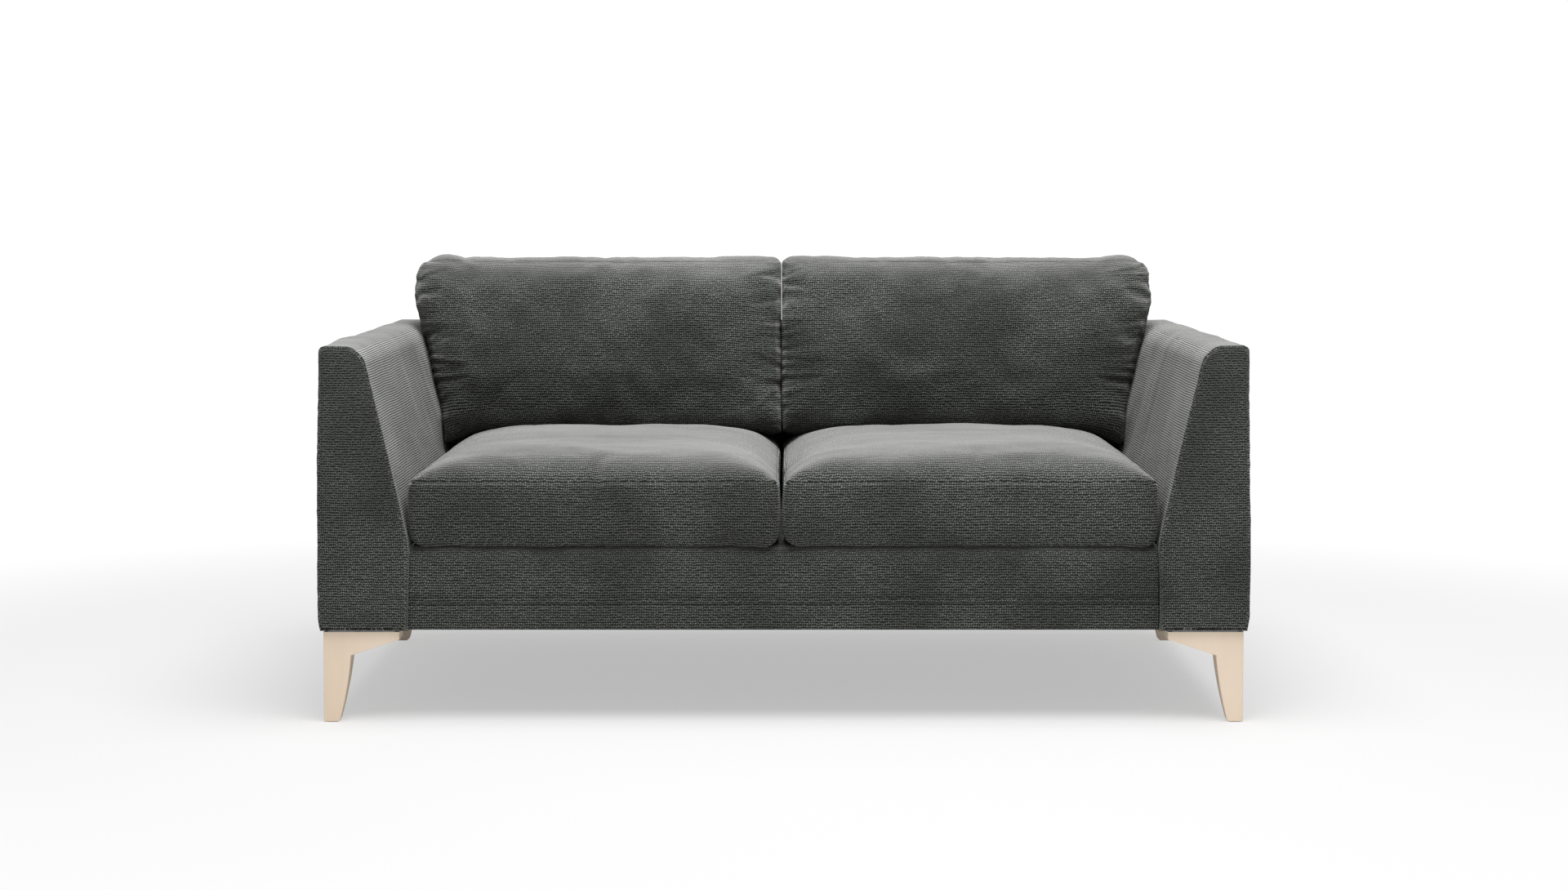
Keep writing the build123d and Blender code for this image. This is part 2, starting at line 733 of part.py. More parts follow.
with BuildPart() as seat_core:
    with BuildSketch(across_view.offset(-half_width)):
        Polygon(*seat_core_section(
            seat_middle_gap, seat_outer, core_crown_inset, core_crown_inset), align=None)
    extrude(amount=overall_width)
    with BuildSketch(along_view.offset(-half_width)):
        Polygon(*seat_core_section(
            -seat_front, seat_rear, core_crown_inset, core_rear_inset), align=None)
    extrude(amount=overall_width, mode=Mode.INTERSECT)

seat_zip_plane = Plane(
    origin=((seat_middle_gap + seat_outer) / 2, seat_rear - zip_sink, seat_low + seat_border / 2),
    x_dir=(1, 0, 0), z_dir=(0, 1, 0))
pocket, tape, slider = make_zip(seat_zip_plane, zip_tape_width)

with BuildPart() as seat_cover:
    add(seat_cushion.part)
    add(seat_core.part, mode=Mode.SUBTRACT)
    add(pocket, mode=Mode.SUBTRACT)
save_pair(seat_cover.part, "seat_cushion_cover")
save_pair(seat_core.part, "seat_cushion_core")
save_pair(tape, "seat_zip")
save_pair(slider, "seat_zip_slider")

# Back cushions: a tapered pillow that leans back and fans out over the arms

back_foot = back_front - back_seat_depth
back_foot_height = deck_height + back_foot_rise
back_foot_reach = arm_inner_face(0, back_foot_height) - back_side_gap
back_fan = tan(arm_slope) + back_splay
back_foot_plane = Plane(
    origin=(0, back_foot, back_foot_height), x_dir=(1, 0, 0), z_dir=(0, sin(back_lean), cos(back_lean)))


def back_rear(height):
    """Rear face of a back cushion in its leaning frame, parallel to the back that it rests on."""
    start = (back_face(-soft_gap, back_foot_height) - back_foot) / cos(back_lean - back_slope)
    return start * cos(back_slope) - height * tan(back_lean - back_slope)


def back_side_profile(skin, low, high):
    """Corners of a back cushion's side between two heights, `skin` inside its flat faces."""
    return (
        (low * tan(face_lean) + skin, low), (back_rear(low) - skin, low),
        (back_rear(high) - skin, high), (high * tan(face_lean) + skin, high))


def back_elevation(skin, low, high):
    """Corners of a back cushion as seen from the front, fanning out to one side."""
    edges = [(back_foot_reach + back_fan * height - skin, height) for height in (low, high)]
    return (back_middle_gap + skin, low), *edges, (back_middle_gap + skin, high)


with BuildPart() as back_cushion:
    with BuildSketch(Plane.YZ):
        foot_front, foot_rear, head_rear, head_front = back_side_profile(0, 0, back_height)
        bow = (
            (foot_front[0] + head_front[0]) / 2 - back_fullness * cos(face_lean),
            back_height / 2 + back_fullness * sin(face_lean))
        with BuildLine():
            Polyline(foot_front, foot_rear, head_rear, head_front)
            ThreePointArc(head_front, bow, foot_front)
        make_face()
        rear_corner, front_corner = vertices().group_by(Axis.Y)[-1].sort_by(Axis.X)[::-1]
        fillet(front_corner, radius=back_head_round)
        fillet(rear_corner, radius=back_head_rear_round)
        fillet(vertices().group_by(Axis.Y)[0], radius=back_foot_round)
    extrude(amount=half_width)
    with BuildSketch(plane_at_depth(half_depth)):
        Polygon(*back_elevation(0, 0, back_height), align=None)
        fillet(vertices(), radius=back_corner)
    extrude(amount=overall_depth, mode=Mode.INTERSECT)
    for side, spread, inwards in ((back_middle_gap, 0, 1), (back_foot_reach, back_fan, -1)):
        for face, lean, backwards in (
                (-back_fullness / cos(face_lean) - back_round_lead, tan(face_lean), 1),
                (back_rear(0) + back_round_lead, -tan(back_lean - back_slope), -1)):
            run = Vector(spread, lean, 1).normalized()
            sideways = (Vector(1, 0, 0) - run * run.X).normalized()
            corner = (side - inwards * back_round_lead, face, 0)
            section = Plane(origin=corner, x_dir=sideways, z_dir=run)
            across = Vector(inwards * overall_width, 0)
            along = Vector(section.x_dir.Y, section.y_dir.Y) * backwards * overall_width
            with BuildSketch(section.offset(-2 * back_height)):
                Polygon((0, 0), across, across + along, along, align=None)
                fillet(vertices().sort_by_distance((0, 0, 0))[0], radius=back_side_round)
            extrude(amount=4 * back_height, mode=Mode.INTERSECT)

with BuildPart() as back_core:
    core_heights = (back_foot_round, back_height - back_head_round)
    with BuildSketch(Plane.YZ):
        Polygon(*back_side_profile(wadding, *core_heights), align=None)
    extrude(amount=half_width)
    with BuildSketch(plane_at_depth(half_depth)):
        Polygon(*back_elevation(wadding, *core_heights), align=None)
    extrude(amount=overall_depth, mode=Mode.INTERSECT)

back_zip_plane = Plane(
    origin=back_foot_plane.from_local_coords(
        ((back_middle_gap + back_foot_reach) / 2, back_rear(0) / 2, zip_pocket)),
    x_dir=(1, 0, 0), z_dir=-back_foot_plane.z_dir)
pocket, tape, slider = make_zip(back_zip_plane, zip_tape_width)

with BuildPart() as back_cover:
    add(back_foot_plane.location * back_cushion.part)
    add(back_foot_plane.location * back_core.part, mode=Mode.SUBTRACT)
    add(pocket, mode=Mode.SUBTRACT)
save_pair(back_cover.part, "back_cushion_cover")
save_pair(back_foot_plane.location * back_core.part, "back_cushion_core")
save_pair(tape, "back_zip")
save_pair(slider, "back_zip_slider")
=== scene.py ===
import logging
import math
from dataclasses import dataclass
from enum import Enum
from typing import Callable, Optional, Union

import bpy
import numpy as np
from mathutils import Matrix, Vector


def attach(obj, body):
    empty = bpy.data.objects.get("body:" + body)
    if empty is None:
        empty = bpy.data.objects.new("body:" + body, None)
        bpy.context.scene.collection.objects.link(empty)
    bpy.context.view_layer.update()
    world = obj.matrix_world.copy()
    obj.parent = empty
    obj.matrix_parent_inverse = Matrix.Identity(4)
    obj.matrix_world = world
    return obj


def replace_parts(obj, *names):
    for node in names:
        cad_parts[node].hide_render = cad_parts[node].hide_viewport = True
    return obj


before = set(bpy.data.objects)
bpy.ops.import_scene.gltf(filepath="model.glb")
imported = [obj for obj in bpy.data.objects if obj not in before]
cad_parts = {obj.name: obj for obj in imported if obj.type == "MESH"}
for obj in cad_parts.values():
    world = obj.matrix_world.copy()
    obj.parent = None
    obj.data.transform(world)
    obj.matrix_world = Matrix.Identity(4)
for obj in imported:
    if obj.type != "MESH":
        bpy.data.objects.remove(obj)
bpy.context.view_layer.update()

logging.basicConfig(level=logging.INFO, format="%(message)s")
LOG = logging.getLogger("sofa")

Colour = tuple[float, float, float]
Points = np.ndarray
Layers = tuple[tuple[float, float], ...]


class Side(Enum):
    """Which end of the sofa a piece belongs to, as seen from the front."""

    LEFT = -1
    RIGHT = 1

    @property
    def tag(self) -> str:
        """The word that ends the piece's name."""
        return self.name.lower()


class Panel(Enum):
    """The six panels that a stuffed form is sewn from."""

    INNER = 0
    OUTER = 1
    FRONT = 2
    REAR = 3
    UNDER = 4
    TOP = 5


class Grain(Enum):
    """The way the grain of a board or rail runs."""

    ACROSS = (0.06, 1.0, 1.0)
    ALONG = (1.0, 0.06, 1.0)
    UPRIGHT = (1.0, 1.0, 0.06)


# Shader wiring


def arithmetic(operation: str, turned: bool = False) -> Callable[["Wire", "Value"], "Wire"]:
    """Make the method behind an operator.

    Args:
        operation: what the Math or Vector Math node does.
        turned: whether this is the reflected form, with the other value first.

    Returns:
        The method.
    """

    def join(self: "Wire", other: "Value") -> "Wire":
        """Self and other, joined by the operation."""
        return self.combine(operation, *((other, self) if turned else (self, other)))

    return join


class Wire:
    """A value on its way between two shader nodes, with the arithmetic that nodes do."""

    def __init__(self, shader: "Shader", socket: bpy.types.NodeSocket) -> None:
        """Hold one output socket.

        Args:
            shader: the material that is being wired.
            socket: the output that this value leaves by.
        """
        self.shader = shader
        self.socket = socket

    @property
    def is_vector(self) -> bool:
        """Whether three numbers flow here."""
        return self.socket.type == "VECTOR"

    def combine(self, operation: str, first: "Value", second: "Value") -> "Wire":
        """Join two values in a Math or Vector Math node.

        Args:
            operation: the node's operation.
            first: the value at its first socket.
            second: the value at its second socket.

        Returns:
            The result as a new value.
        """
        vector = any(isinstance(v, tuple) or getattr(v, "is_vector", False) for v in (first, second))
        kind = "ShaderNodeVectorMath" if vector else "ShaderNodeMath"
        if vector:
            first, second = ((v,) * 3 if isinstance(v, (int, float)) else v for v in (first, second))
        return self.shader.node(kind, {"operation": operation}, {0: first, 1: second})

    def single(self, operation: str) -> "Wire":
        """The value through a one-input Math node."""
        return self.shader.node("ShaderNodeMath", {"operation": operation}, {0: self})

    __add__, __radd__ = arithmetic("ADD"), arithmetic("ADD", turned=True)
    __sub__, __rsub__ = arithmetic("SUBTRACT"), arithmetic("SUBTRACT", turned=True)
    __mul__, __rmul__ = arithmetic("MULTIPLY"), arithmetic("MULTIPLY", turned=True)
    __truediv__, __rtruediv__ = arithmetic("DIVIDE"), arithmetic("DIVIDE", turned=True)
    __pow__, __rpow__ = arithmetic("POWER"), arithmetic("POWER", turned=True)

    def whole(self) -> "Wire":
        """The whole number below."""
        return self.single("FLOOR")

    def sine(self) -> "Wire":
        """The sine, from radians."""
        return self.single("SINE")

    def size(self) -> "Wire":
        """The value without its sign."""
        return self.single("ABSOLUTE")

    def between(self, low: float, high: float) -> "Wire":
        """Zero at low rising smoothly to one at high.

        Args:
            low: where the rise begins.
            high: where it is complete.

        Returns:
            The eased value.
        """
        settings = {"interpolation_type": "SMOOTHSTEP", "clamp": True}
        return self.shader.node("ShaderNodeMapRange", settings, {0: self, 1: low, 2: high})

    def blend(self, low: Union[Colour, "Wire"], high: Union[Colour, "Wire"]) -> "Wire":
        """Mix two colours by this value.

        Args:
            low: the colour at zero.
            high: the colour at one.

        Returns:
            The mixed colour.
        """
        ends = {6: low, 7: high}
        return self.shader.node("ShaderNodeMix", {"data_type": "RGBA"}, {0: self, **ends}, output=2)


Value = Union[float, int, Colour, Wire]


class Shader:
    """One material, or the world, while its nodes are wired."""

    def __init__(self, name: str, world: bool = False) -> None:
        """Start with no nodes.

        Args:
            name: the finish's name.
            world: whether a world is made and not a material.
        """
        self.made = (bpy.data.worlds if world else bpy.data.materials).new(name)
        self.made.use_nodes = True
        self.tree = self.made.node_tree
        self.tree.nodes.clear()

    def node(
        self,
        kind: str,
        settings: Optional[dict[str, object]] = None,
        values: Optional[dict[Union[int, str], Value]] = None,
        output: Union[int, str] = 0,
    ) -> Wire:
        """Add any node.

        Args:
            kind: the node's type.
            settings: what is chosen on it before its sockets are set.
            values: numbers, colours or wires for its sockets.
            output: the output that is wanted.

        Returns:
            The wire from that output.
        """
        made = self.tree.nodes.new(kind)
        for key, choice in (settings or {}).items():
            setattr(made, key, choice)
        for key, value in (values or {}).items():
            socket = made.inputs[key]
            if isinstance(value, Wire):
                self.tree.links.new(value.socket, socket)
            elif isinstance(value, tuple) and socket.type == "RGBA":
                socket.default_value = (*value, 1.0)
            else:
                socket.default_value = value
        return Wire(self, made.outputs[output])

    def place(self, output: str = "Object") -> Wire:
        """Where the shaded point is, in metres."""
        return self.node("ShaderNodeTexCoord", output=output)

    def parts(self, vector: Wire) -> tuple[Wire, Wire, Wire]:
        """Split a vector.

        Args:
            vector: three numbers in one wire.

        Returns:
            Its x, y and z.
        """
        split = self.node("ShaderNodeSeparateXYZ", {}, {0: vector}).socket.node
        return tuple(Wire(self, socket) for socket in split.outputs)

    def clouds(self, place: Wire, scale: float, detail: float = 2.0) -> Wire:
        """Soft noise from 0 to 1.

        Args:
            place: the point.
            scale: lumps in a metre.
            detail: finer layers.

        Returns:
            The noise value.
        """
        values = {"Vector": place, "Scale": scale, "Detail": detail}
        return self.node("ShaderNodeTexNoise", {"noise_dimensions": "3D"}, values)

    def speckle(self, across: Wire, along: Wire) -> Wire:
        """A number from 0 to 1 for each cell of a grid."""
        cell = self.node("ShaderNodeCombineXYZ", {}, {0: across, 1: along})
        return self.node("ShaderNodeTexWhiteNoise", {"noise_dimensions": "2D"}, {"Vector": cell})

    def relief(self, height: Wire, depth: float, strength: float = 1.0) -> Wire:
        """A bumped normal.

        Args:
            height: the surface's height from 0 to 1.
            depth: how many metres that stands for.
            strength: the share of it that shows.

        Returns:
            The normal.
        """
        values = {"Strength": strength, "Distance": depth, "Height": height}
        return self.node("ShaderNodeBump", {}, values, output="Normal")

    def surface(self, values: dict[Union[int, str], Value]) -> bpy.types.Material:
        """Close the material with a Principled shader.

        Args:
            values: that shader's sockets.

        Returns:
            The finished material.
        """
        return self.close(self.node("ShaderNodeBsdfPrincipled", {}, values))

    def close(self, shader: Wire, kind: str = "Material") -> Union[bpy.types.Material, bpy.types.World]:
        """Lead a shader to the surface of what is wired.

        Args:
            shader: the last shader.
            kind: Material or World.

        Returns:
            The finished material or world.
        """
        output = self.tree.nodes.new(f"ShaderNodeOutput{kind}")
        self.tree.links.new(shader.socket, output.inputs["Surface"])
        return self.made


# Finishes


@dataclass(frozen=True)
class RibbedCloth:
    """Dark chenille woven in fine ribs, each a row of small light knots, with painted sheen and painted
    groove shade in its colour.
    """

    name: str = "ribbed chenille"
    # Valley: the dark ground yarn between ribs, made darker still with painted shade in the grooves.
    valley: Colour = (0.0038, 0.0043, 0.0036)
    yarn: Colour = (0.080, 0.086, 0.077)
    knot: Colour = (0.26, 0.27, 0.245)
    # Painted sheen: the pale grey mixed into the colour at grazing angles and on upward faces, with its
    # share and its least share in the rib valleys.
    haze: Colour = (0.56, 0.56, 0.55)
    rib: float = 0.0044
    stitch: float = 0.0042
    relief: float = 0.0011
    painted_sheen_share: float = 0.97
    painted_sheen_floor: float = 0.06

    def material(self) -> bpy.types.Material:
        """Wire the cloth, with a painted sheen that lightens faces seen at a grazing angle or turned up
        towards the lamp.

        Returns:
            The material, drawn in the metres of the piece's UV map: ribs run along u.
        """
        shader = Shader(self.name)
        place = shader.place()
        cut = shader.place("UV")
        u, v, _ = shader.parts(cut)
        sway = shader.clouds(place, 7.0, 1.0) - 0.5
        shiver = shader.clouds(place, 60.0, 1.0) - 0.5
        row = (v + sway * 0.005 + shiver * 0.0013) / self.rib
        line = row.whole()
        cord = ((row - line) * math.pi).sine()
        drift = shader.speckle(line, line * 0.37) * 0.55
        column = (u + shiver * 0.0010 + sway * 0.003) / self.stitch + drift
        knot_line = column.whole()
        bead = ((column - knot_line) * math.pi).sine()
        pick = shader.speckle(line, knot_line)
        stray = (shader.speckle(knot_line, line * 1.7) - 0.5) * 0.46
        loose = ((row - line + stray) * math.pi).sine().size()
        patch = shader.clouds(place, 6.5, 3.0).between(0.28, 0.72)
        # The colour falls to the valley colour in the rib grooves, where the bump is hollow: partly the
        # yarn, partly painted shade.
        body = (cord**2.0 * 0.5 + loose**2.0 * 0.5) * (0.45 + bead * 0.55) * (0.75 + patch * 0.4)
        tone = body.blend(self.valley, self.yarn)
        light = loose**2.6 * bead**1.8 * (0.34 + pick**1.4 * 0.74) * (0.45 + patch * 0.55)
        colour = light.blend(tone, self.knot)
        # Painted sheen: the colour is lightened towards a pale grey where a face is seen at a grazing angle
        # and where it turns up towards the lamp (lit), mostly on rib crests and varied by the nap; fuzz
        # here is this painted sheen mask.
        grazing = shader.node("ShaderNodeLayerWeight", {}, {"Blend": 0.5}, output="Facing")
        nap = shader.clouds(place * (3.0, 9.0, 9.0), 1.0, 3.0).between(0.2, 0.8)
        facing = shader.node("ShaderNodeNewGeometry", {}, {}, output="Normal")
        lit = shader.parts(facing)[2].between(-0.3, 0.48)
        edge = grazing.between(0.12, 0.97) ** 0.9 * lit
        sheen_on_crests = cord**1.4 * (1 - self.painted_sheen_floor) + self.painted_sheen_floor
        fuzz = edge * (0.70 + nap * 0.30) * sheen_on_crests * self.painted_sheen_share
        colour = fuzz.blend(colour, self.haze)
        height = (cord * 0.5 + loose * 0.5) ** 0.7 * (0.62 + bead * 0.38) + (pick - 0.5) * 0.14
        return shader.surface(
            {
                "Base Color": colour,
                "Roughness": 0.92,
                "Normal": shader.relief(height, self.relief),
                "Sheen Weight": 0.06,
                "Sheen Roughness": 0.42,
                "Sheen Tint": (0.93, 0.95, 0.92),
                "Specular IOR Level": 0.18,
            }
        )


@dataclass(frozen=True)
class Timber:
    """A solid or laminated wood with grain, pores and a light finish."""

    name: str
    early: Colour
    late: Colour
    roughness: float = 0.5
    coat: float = 0.0
    grain: Grain = Grain.UPRIGHT
    rings: float = 34.0
    layers: float = 0.0

    def material(self) -> bpy.types.Material:
        """Wire the wood.

        Returns:
            The material.
        """
        shader = Shader(self.name)
        place = shader.place() * self.grain.value
        warp = shader.clouds(place, 9.0, 2.0)
        growth = shader.clouds(place + (0.35, 0.1, 0.2) * (warp * 0.12), self.rings, 3.0)
        fibre = shader.clouds(place, 520.0, 2.0)
        share = growth.between(0.3, 0.72) * 0.7 + fibre * 0.3
        colour = share.blend(self.early, self.late)
        if self.layers:
            height = shader.parts(shader.place())[2]
            ply = (height * self.layers * math.pi).sine().size()
            colour = (ply.between(0.35, 0.6) * 0.35).blend(colour, self.late)
        pores = fibre.between(0.62, 0.7)
        return shader.surface(
            {
                "Base Color": colour,
                "Roughness": pores * 0.12 + self.roughness,
                "Normal": shader.relief(fibre, 0.0002, 0.5),
                "Coat Weight": self.coat,
                "Coat Roughness": 0.35,
            }
        )


@dataclass(frozen=True)
class Crumb:
    """A grained material without a direction: foam, fibreboard, or moulded plastic."""

    name: str
    pale: Colour
    dark: Colour
    cell: float
    depth: float
    roughness: float = 0.8

    def material(self) -> bpy.types.Material:
        """Wire the grains.

        Returns:
            The material.
        """
        shader = Shader(self.name)
        place = shader.place()
        cells = shader.node("ShaderNodeTexVoronoi", {}, {"Vector": place, "Scale": 1.0 / self.cell})
        clouds = shader.clouds(place, 12.0, 3.0)
        share = cells.between(0.15, 0.75) * 0.6 + clouds * 0.4
        return shader.surface(
            {
                "Base Color": share.blend(self.dark, self.pale),
                "Roughness": clouds * 0.1 + self.roughness,
                "Normal": shader.relief(cells, self.depth, 0.7),
            }
        )


@dataclass(frozen=True)
class Weave:
    """A plain weave: webbing, lining and zip tape."""

    name: str
    warp: Colour
    weft: Colour
    thread: float
    depth: float
    stripe: float = 0.0

    def material(self) -> bpy.types.Material:
        """Wire the weave from the point's own place, so that it needs no UV map.

        Returns:
            The material.
        """
        shader = Shader(self.name)
        place = shader.place()
        x, y, z = shader.parts(place)
        over = ((x + z * 0.7) * (math.pi / self.thread)).sine()
        under = ((y + z * 0.7) * (math.pi / self.thread)).sine()
        knit = (over * under).between(-0.35, 0.35)
        fuzz = shader.clouds(place, 900.0, 2.0)
        share = knit * 0.75 + fuzz * 0.25
        colour = share.blend(self.weft, self.warp)
        if self.stripe:
            band = (y * (math.pi / self.stripe)).sine().size().between(0.9, 0.97)
            colour = (band * 0.5).blend(colour, self.weft)
        return shader.surface(
            {
                "Base Color": colour,
                "Roughness": fuzz * 0.15 + 0.75,
                "Normal": shader.relief(share, self.depth),
                "Sheen Weight": 0.15,
            }
        )


@dataclass(frozen=True)
class Metal:
    """Zinc-plated or brushed metal, with fine scratches."""

    name: str
    colour: Colour
    roughness: float
    teeth: float = 0.0

    def material(self) -> bpy.types.Material:
        """Wire the metal.

        Returns:
            The material.
        """
        shader = Shader(self.name)
        place = shader.place()
        scratches = shader.clouds(place * (1.0, 14.0, 14.0), 60.0, 3.0)
        stain = shader.clouds(place, 25.0, 3.0)
        height = scratches * 0.3
        if self.teeth:
            height = (shader.parts(place)[0] * (math.pi / self.teeth)).sine().size() + height
        dull = tuple(0.72 * part for part in self.colour)
        return shader.surface(
            {
                "Base Color": stain.between(0.35, 0.75).blend(self.colour, dull),
                "Metallic": 1.0,
                "Roughness": scratches * 0.2 + self.roughness,
                "Normal": shader.relief(height, 0.0003, 0.6),
            }
        )


@dataclass(frozen=True)
class Backdrop:
    """White studio ground that keeps the sofa's shadow and bounces light back."""

    name: str = "studio ground"
    bounce: float = 0.82
    glow: float = 0.47
    paper: float = 0.40
    shadow_reach: tuple[float, float] = (1.1, 2.3)

    def material(self) -> bpy.types.Material:
        """Wire the ground.

        Returns:
            The material: what the camera sees glows a little, what lights the sofa doesn't.
        """
        shader = Shader(self.name)
        diffuse = shader.node("ShaderNodeBsdfDiffuse", {}, {"Color": (self.bounce,) * 3})
        paper = shader.node("ShaderNodeBsdfDiffuse", {}, {"Color": (self.paper,) * 3})
        glow = shader.node("ShaderNodeEmission", {}, {"Color": (1.0,) * 3, "Strength": self.glow})
        near = shader.node("ShaderNodeAddShader", {}, {0: paper, 1: glow})
        white = shader.node("ShaderNodeEmission", {}, {"Color": (1.0,) * 3, "Strength": 1.02})
        x, y, _ = shader.parts(shader.place())
        away = (x * x * 0.6 + y * y) ** 0.5
        seen = shader.node(
            "ShaderNodeMixShader", {}, {0: away.between(*self.shadow_reach), 1: near, 2: white}
        )
        path = shader.node("ShaderNodeLightPath", {}, {}, output="Is Camera Ray")
        return shader.close(shader.node("ShaderNodeMixShader", {}, {0: path, 1: diffuse, 2: seen}))


# Forms


def spaced(length: float, pitch: float, near: tuple[float, ...] = ()) -> Points:
    """Places along one side of a form, closer together at its ends and at its seams.

    Args:
        length: how long the side is.
        pitch: usual distance between places.
        near: places of seams on the way.

    Returns:
        The places in rising order.
    """
    lead = (0.0, 0.0015, 0.004, 0.008, 0.0135)
    count = max(2, round((length - 2 * lead[-1]) / pitch))
    middle = np.linspace(lead[-1], length - lead[-1], count + 1)
    for seam in near:
        middle = middle[np.abs(middle - seam) > 0.0052]
        middle = np.append(middle, [seam + step for step in (-0.0045, -0.002, 0.0, 0.002, 0.0045)])
    ends = [*lead[:-1], *(length - step for step in lead[:-1])]
    return np.sort(np.concatenate([middle, ends]))


def ripple(place: Points, wave: float, seed: int, waves: int = 28) -> Points:
    """Smooth noise of about unit strength.

    Args:
        place: points, one in a row.
        wave: usual length of a wave, in metres.
        seed: chooses the pattern.
        waves: how many waves are added.

    Returns:
        One value a point.
    """
    chance = np.random.default_rng(seed)
    way = chance.normal(size=(waves, place.shape[1]))
    way /= np.linalg.norm(way, axis=1, keepdims=True)
    pitch = 2 * math.pi / (wave * chance.uniform(0.7, 1.5, waves))
    start = chance.uniform(0, 2 * math.pi, waves)
    return np.sin(place @ (way * pitch[:, None]).T + start).sum(axis=1) / math.sqrt(waves / 2)


def turn(first: Points, second: Points, radius: Union[float, Points]) -> tuple[Points, Points]:
    """Round a square corner.

    Args:
        first: distance of each point from one side of the corner.
        second: distance from the other side.
        radius: radius of the corner.

    Returns:
        The two distances after rounding.
    """
    u = np.clip((radius - first) / radius, 0, 1)
    v = np.clip((radius - second) / radius, 0, 1)
    inside = (u > 0) & (v > 0)
    new_first = np.where(inside, radius - radius * u * np.sqrt(1 - v**2 / 2), first)
    new_second = np.where(inside, radius - radius * v * np.sqrt(1 - u**2 / 2), second)
    return new_first, new_second


def pucker(distance: Points, along: Points, seed: int, wave: float = 0.032) -> Points:
    """Small gathers that start at a seam and die away from it.

    Args:
        distance: how far each point is from the seam.
        along: how far along the seam it is.
        seed: chooses the pattern.
        wave: usual distance between gathers.

    Returns:
        A displacement of about unit strength.
    """
    run = along[:, None]
    gathers = ripple(run, wave, seed, 12) + 0.6 * ripple(run, wave / 2.3, seed + 1, 12)
    return gathers * np.exp(-distance / 0.020) * (1 - np.exp(-distance / 0.004))


def folds(inset: Points, along: Points, seed: int, wave: float, reach: float) -> Points:
    """Crisp gathers that run inwards from a tight edge.

    Args:
        inset: how far each point is inside the edge, and zero on the edge's own band.
        along: how far along the edge it is.
        seed: chooses the pattern.
        wave: usual distance between gathers.
        reach: how far they usually run.

    Returns:
        A displacement of about unit strength, with sharp hollows.
    """
    slant = 0.35 * ripple(along[:, None], 0.17, seed, 8)
    run = (along + slant * inset)[:, None]
    length = reach * np.clip(0.8 + 0.45 * ripple(run, 1.5 * wave, seed + 1, 10), 0.25, 1.7)
    crest = np.abs(ripple(run, 2 * wave, seed + 2, 14)) ** 0.65 - 0.65
    return crest * np.exp(-((inset / length) ** 1.6))


class Lattice:
    """The surface grid of a stuffed form: a box of panels whose seams share their points."""

    def __init__(self, across: Points, along: Points, up: Points) -> None:
        """Number the points on the box's surface.

        Args:
            across: places from the inner to the outer side.
            along: places from front to rear.
            up: places from bottom to top.
        """
        self.size = (across[-1], along[-1], up[-1])
        shape = (len(across), len(along), len(up))
        on_surface = np.zeros(shape, bool)
        for axis in range(3):
            edge = [slice(None)] * 3
            for end in (0, -1):
                edge[axis] = end
                on_surface[tuple(edge)] = True
        number = np.full(shape, -1)
        number[on_surface] = np.arange(on_surface.sum())
        cells = np.argwhere(on_surface)
        self.rest = np.stack([across[cells[:, 0]], along[cells[:, 1]], up[cells[:, 2]]], axis=1)
        self.cells, self.shape = cells, shape
        quads, panels = [], []
        for panel in Panel:
            axis, end = divmod(panel.value, 2)
            sheet = np.take(number, -end, axis=axis)
            corners = [sheet[:-1, :-1], sheet[1:, :-1], sheet[1:, 1:], sheet[:-1, 1:]]
            faces = np.stack([corner.ravel() for corner in corners], axis=1)
            if (end == 0) != (axis == 1):
                faces = faces[:, ::-1]
            quads.append(faces)
            panels.append(np.full(len(faces), panel.value))
        self.quads, self.panels = np.concatenate(quads), np.concatenate(panels)

    def on(self, panel: Panel) -> Points:
        """Which points lie on a panel."""
        axis, end = divmod(panel.value, 2)
        return self.cells[:, axis] == (self.shape[axis] - 1 if end else 0)

    def from_edge(self, panel: Panel) -> Points:
        """How far each point of the unstuffed box is from a panel."""
        axis, end = divmod(panel.value, 2)
        return self.size[axis] - self.rest[:, axis] if end else self.rest[:, axis]

    def rounded(self, *edges: tuple[Panel, Panel, float]) -> list[Points]:
        """Round edges of the unstuffed box, one after another.

        Args:
            edges: the two panels that meet at each edge, and its radius.

        Returns:
            Across, along and up of each point.
        """
        places = list(self.rest.T)
        for *panels, radius in edges:
            sides = [divmod(panel.value, 2) for panel in panels]
            distances = [self.size[axis] - places[axis] if end else places[axis] for axis, end in sides]
            for (axis, end), turned in zip(sides, turn(*distances, radius)):
                places[axis] = self.size[axis] - turned if end else turned
        return places


def make_mesh(name: str, points: Points, quads: Points, flip: bool = False) -> bpy.types.Object:
    """Make an object from points and faces.

    Args:
        name: the piece's name.
        points: its points, in metres in the row frame.
        quads: its faces, as numbers of points.
        flip: whether the faces turn over, for a mirrored piece.

    Returns:
        The object, shaded smooth.
    """
    mesh = bpy.data.meshes.new(name)
    faces = quads[:, ::-1] if flip else quads
    mesh.from_pydata(points.tolist(), [], faces.tolist())
    mesh.polygons.foreach_set("use_smooth", np.ones(len(mesh.polygons), bool))
    mesh.update()
    made = bpy.data.objects.new(name, mesh)
    bpy.context.scene.collection.objects.link(made)
    return made


def places_of(made: bpy.types.Object) -> Points:
    """The points of a mesh.

    Args:
        made: the mesh's object.

    Returns:
        The points, one in a row.
    """
    found = np.empty(len(made.data.vertices) * 3)
    made.data.vertices.foreach_get("co", found)
    return found.reshape(-1, 3)


def move_to(made: bpy.types.Object, points: Points) -> None:
    """Put the points of a mesh where they are wanted."""
    made.data.vertices.foreach_set("co", points.ravel())
    made.data.update()


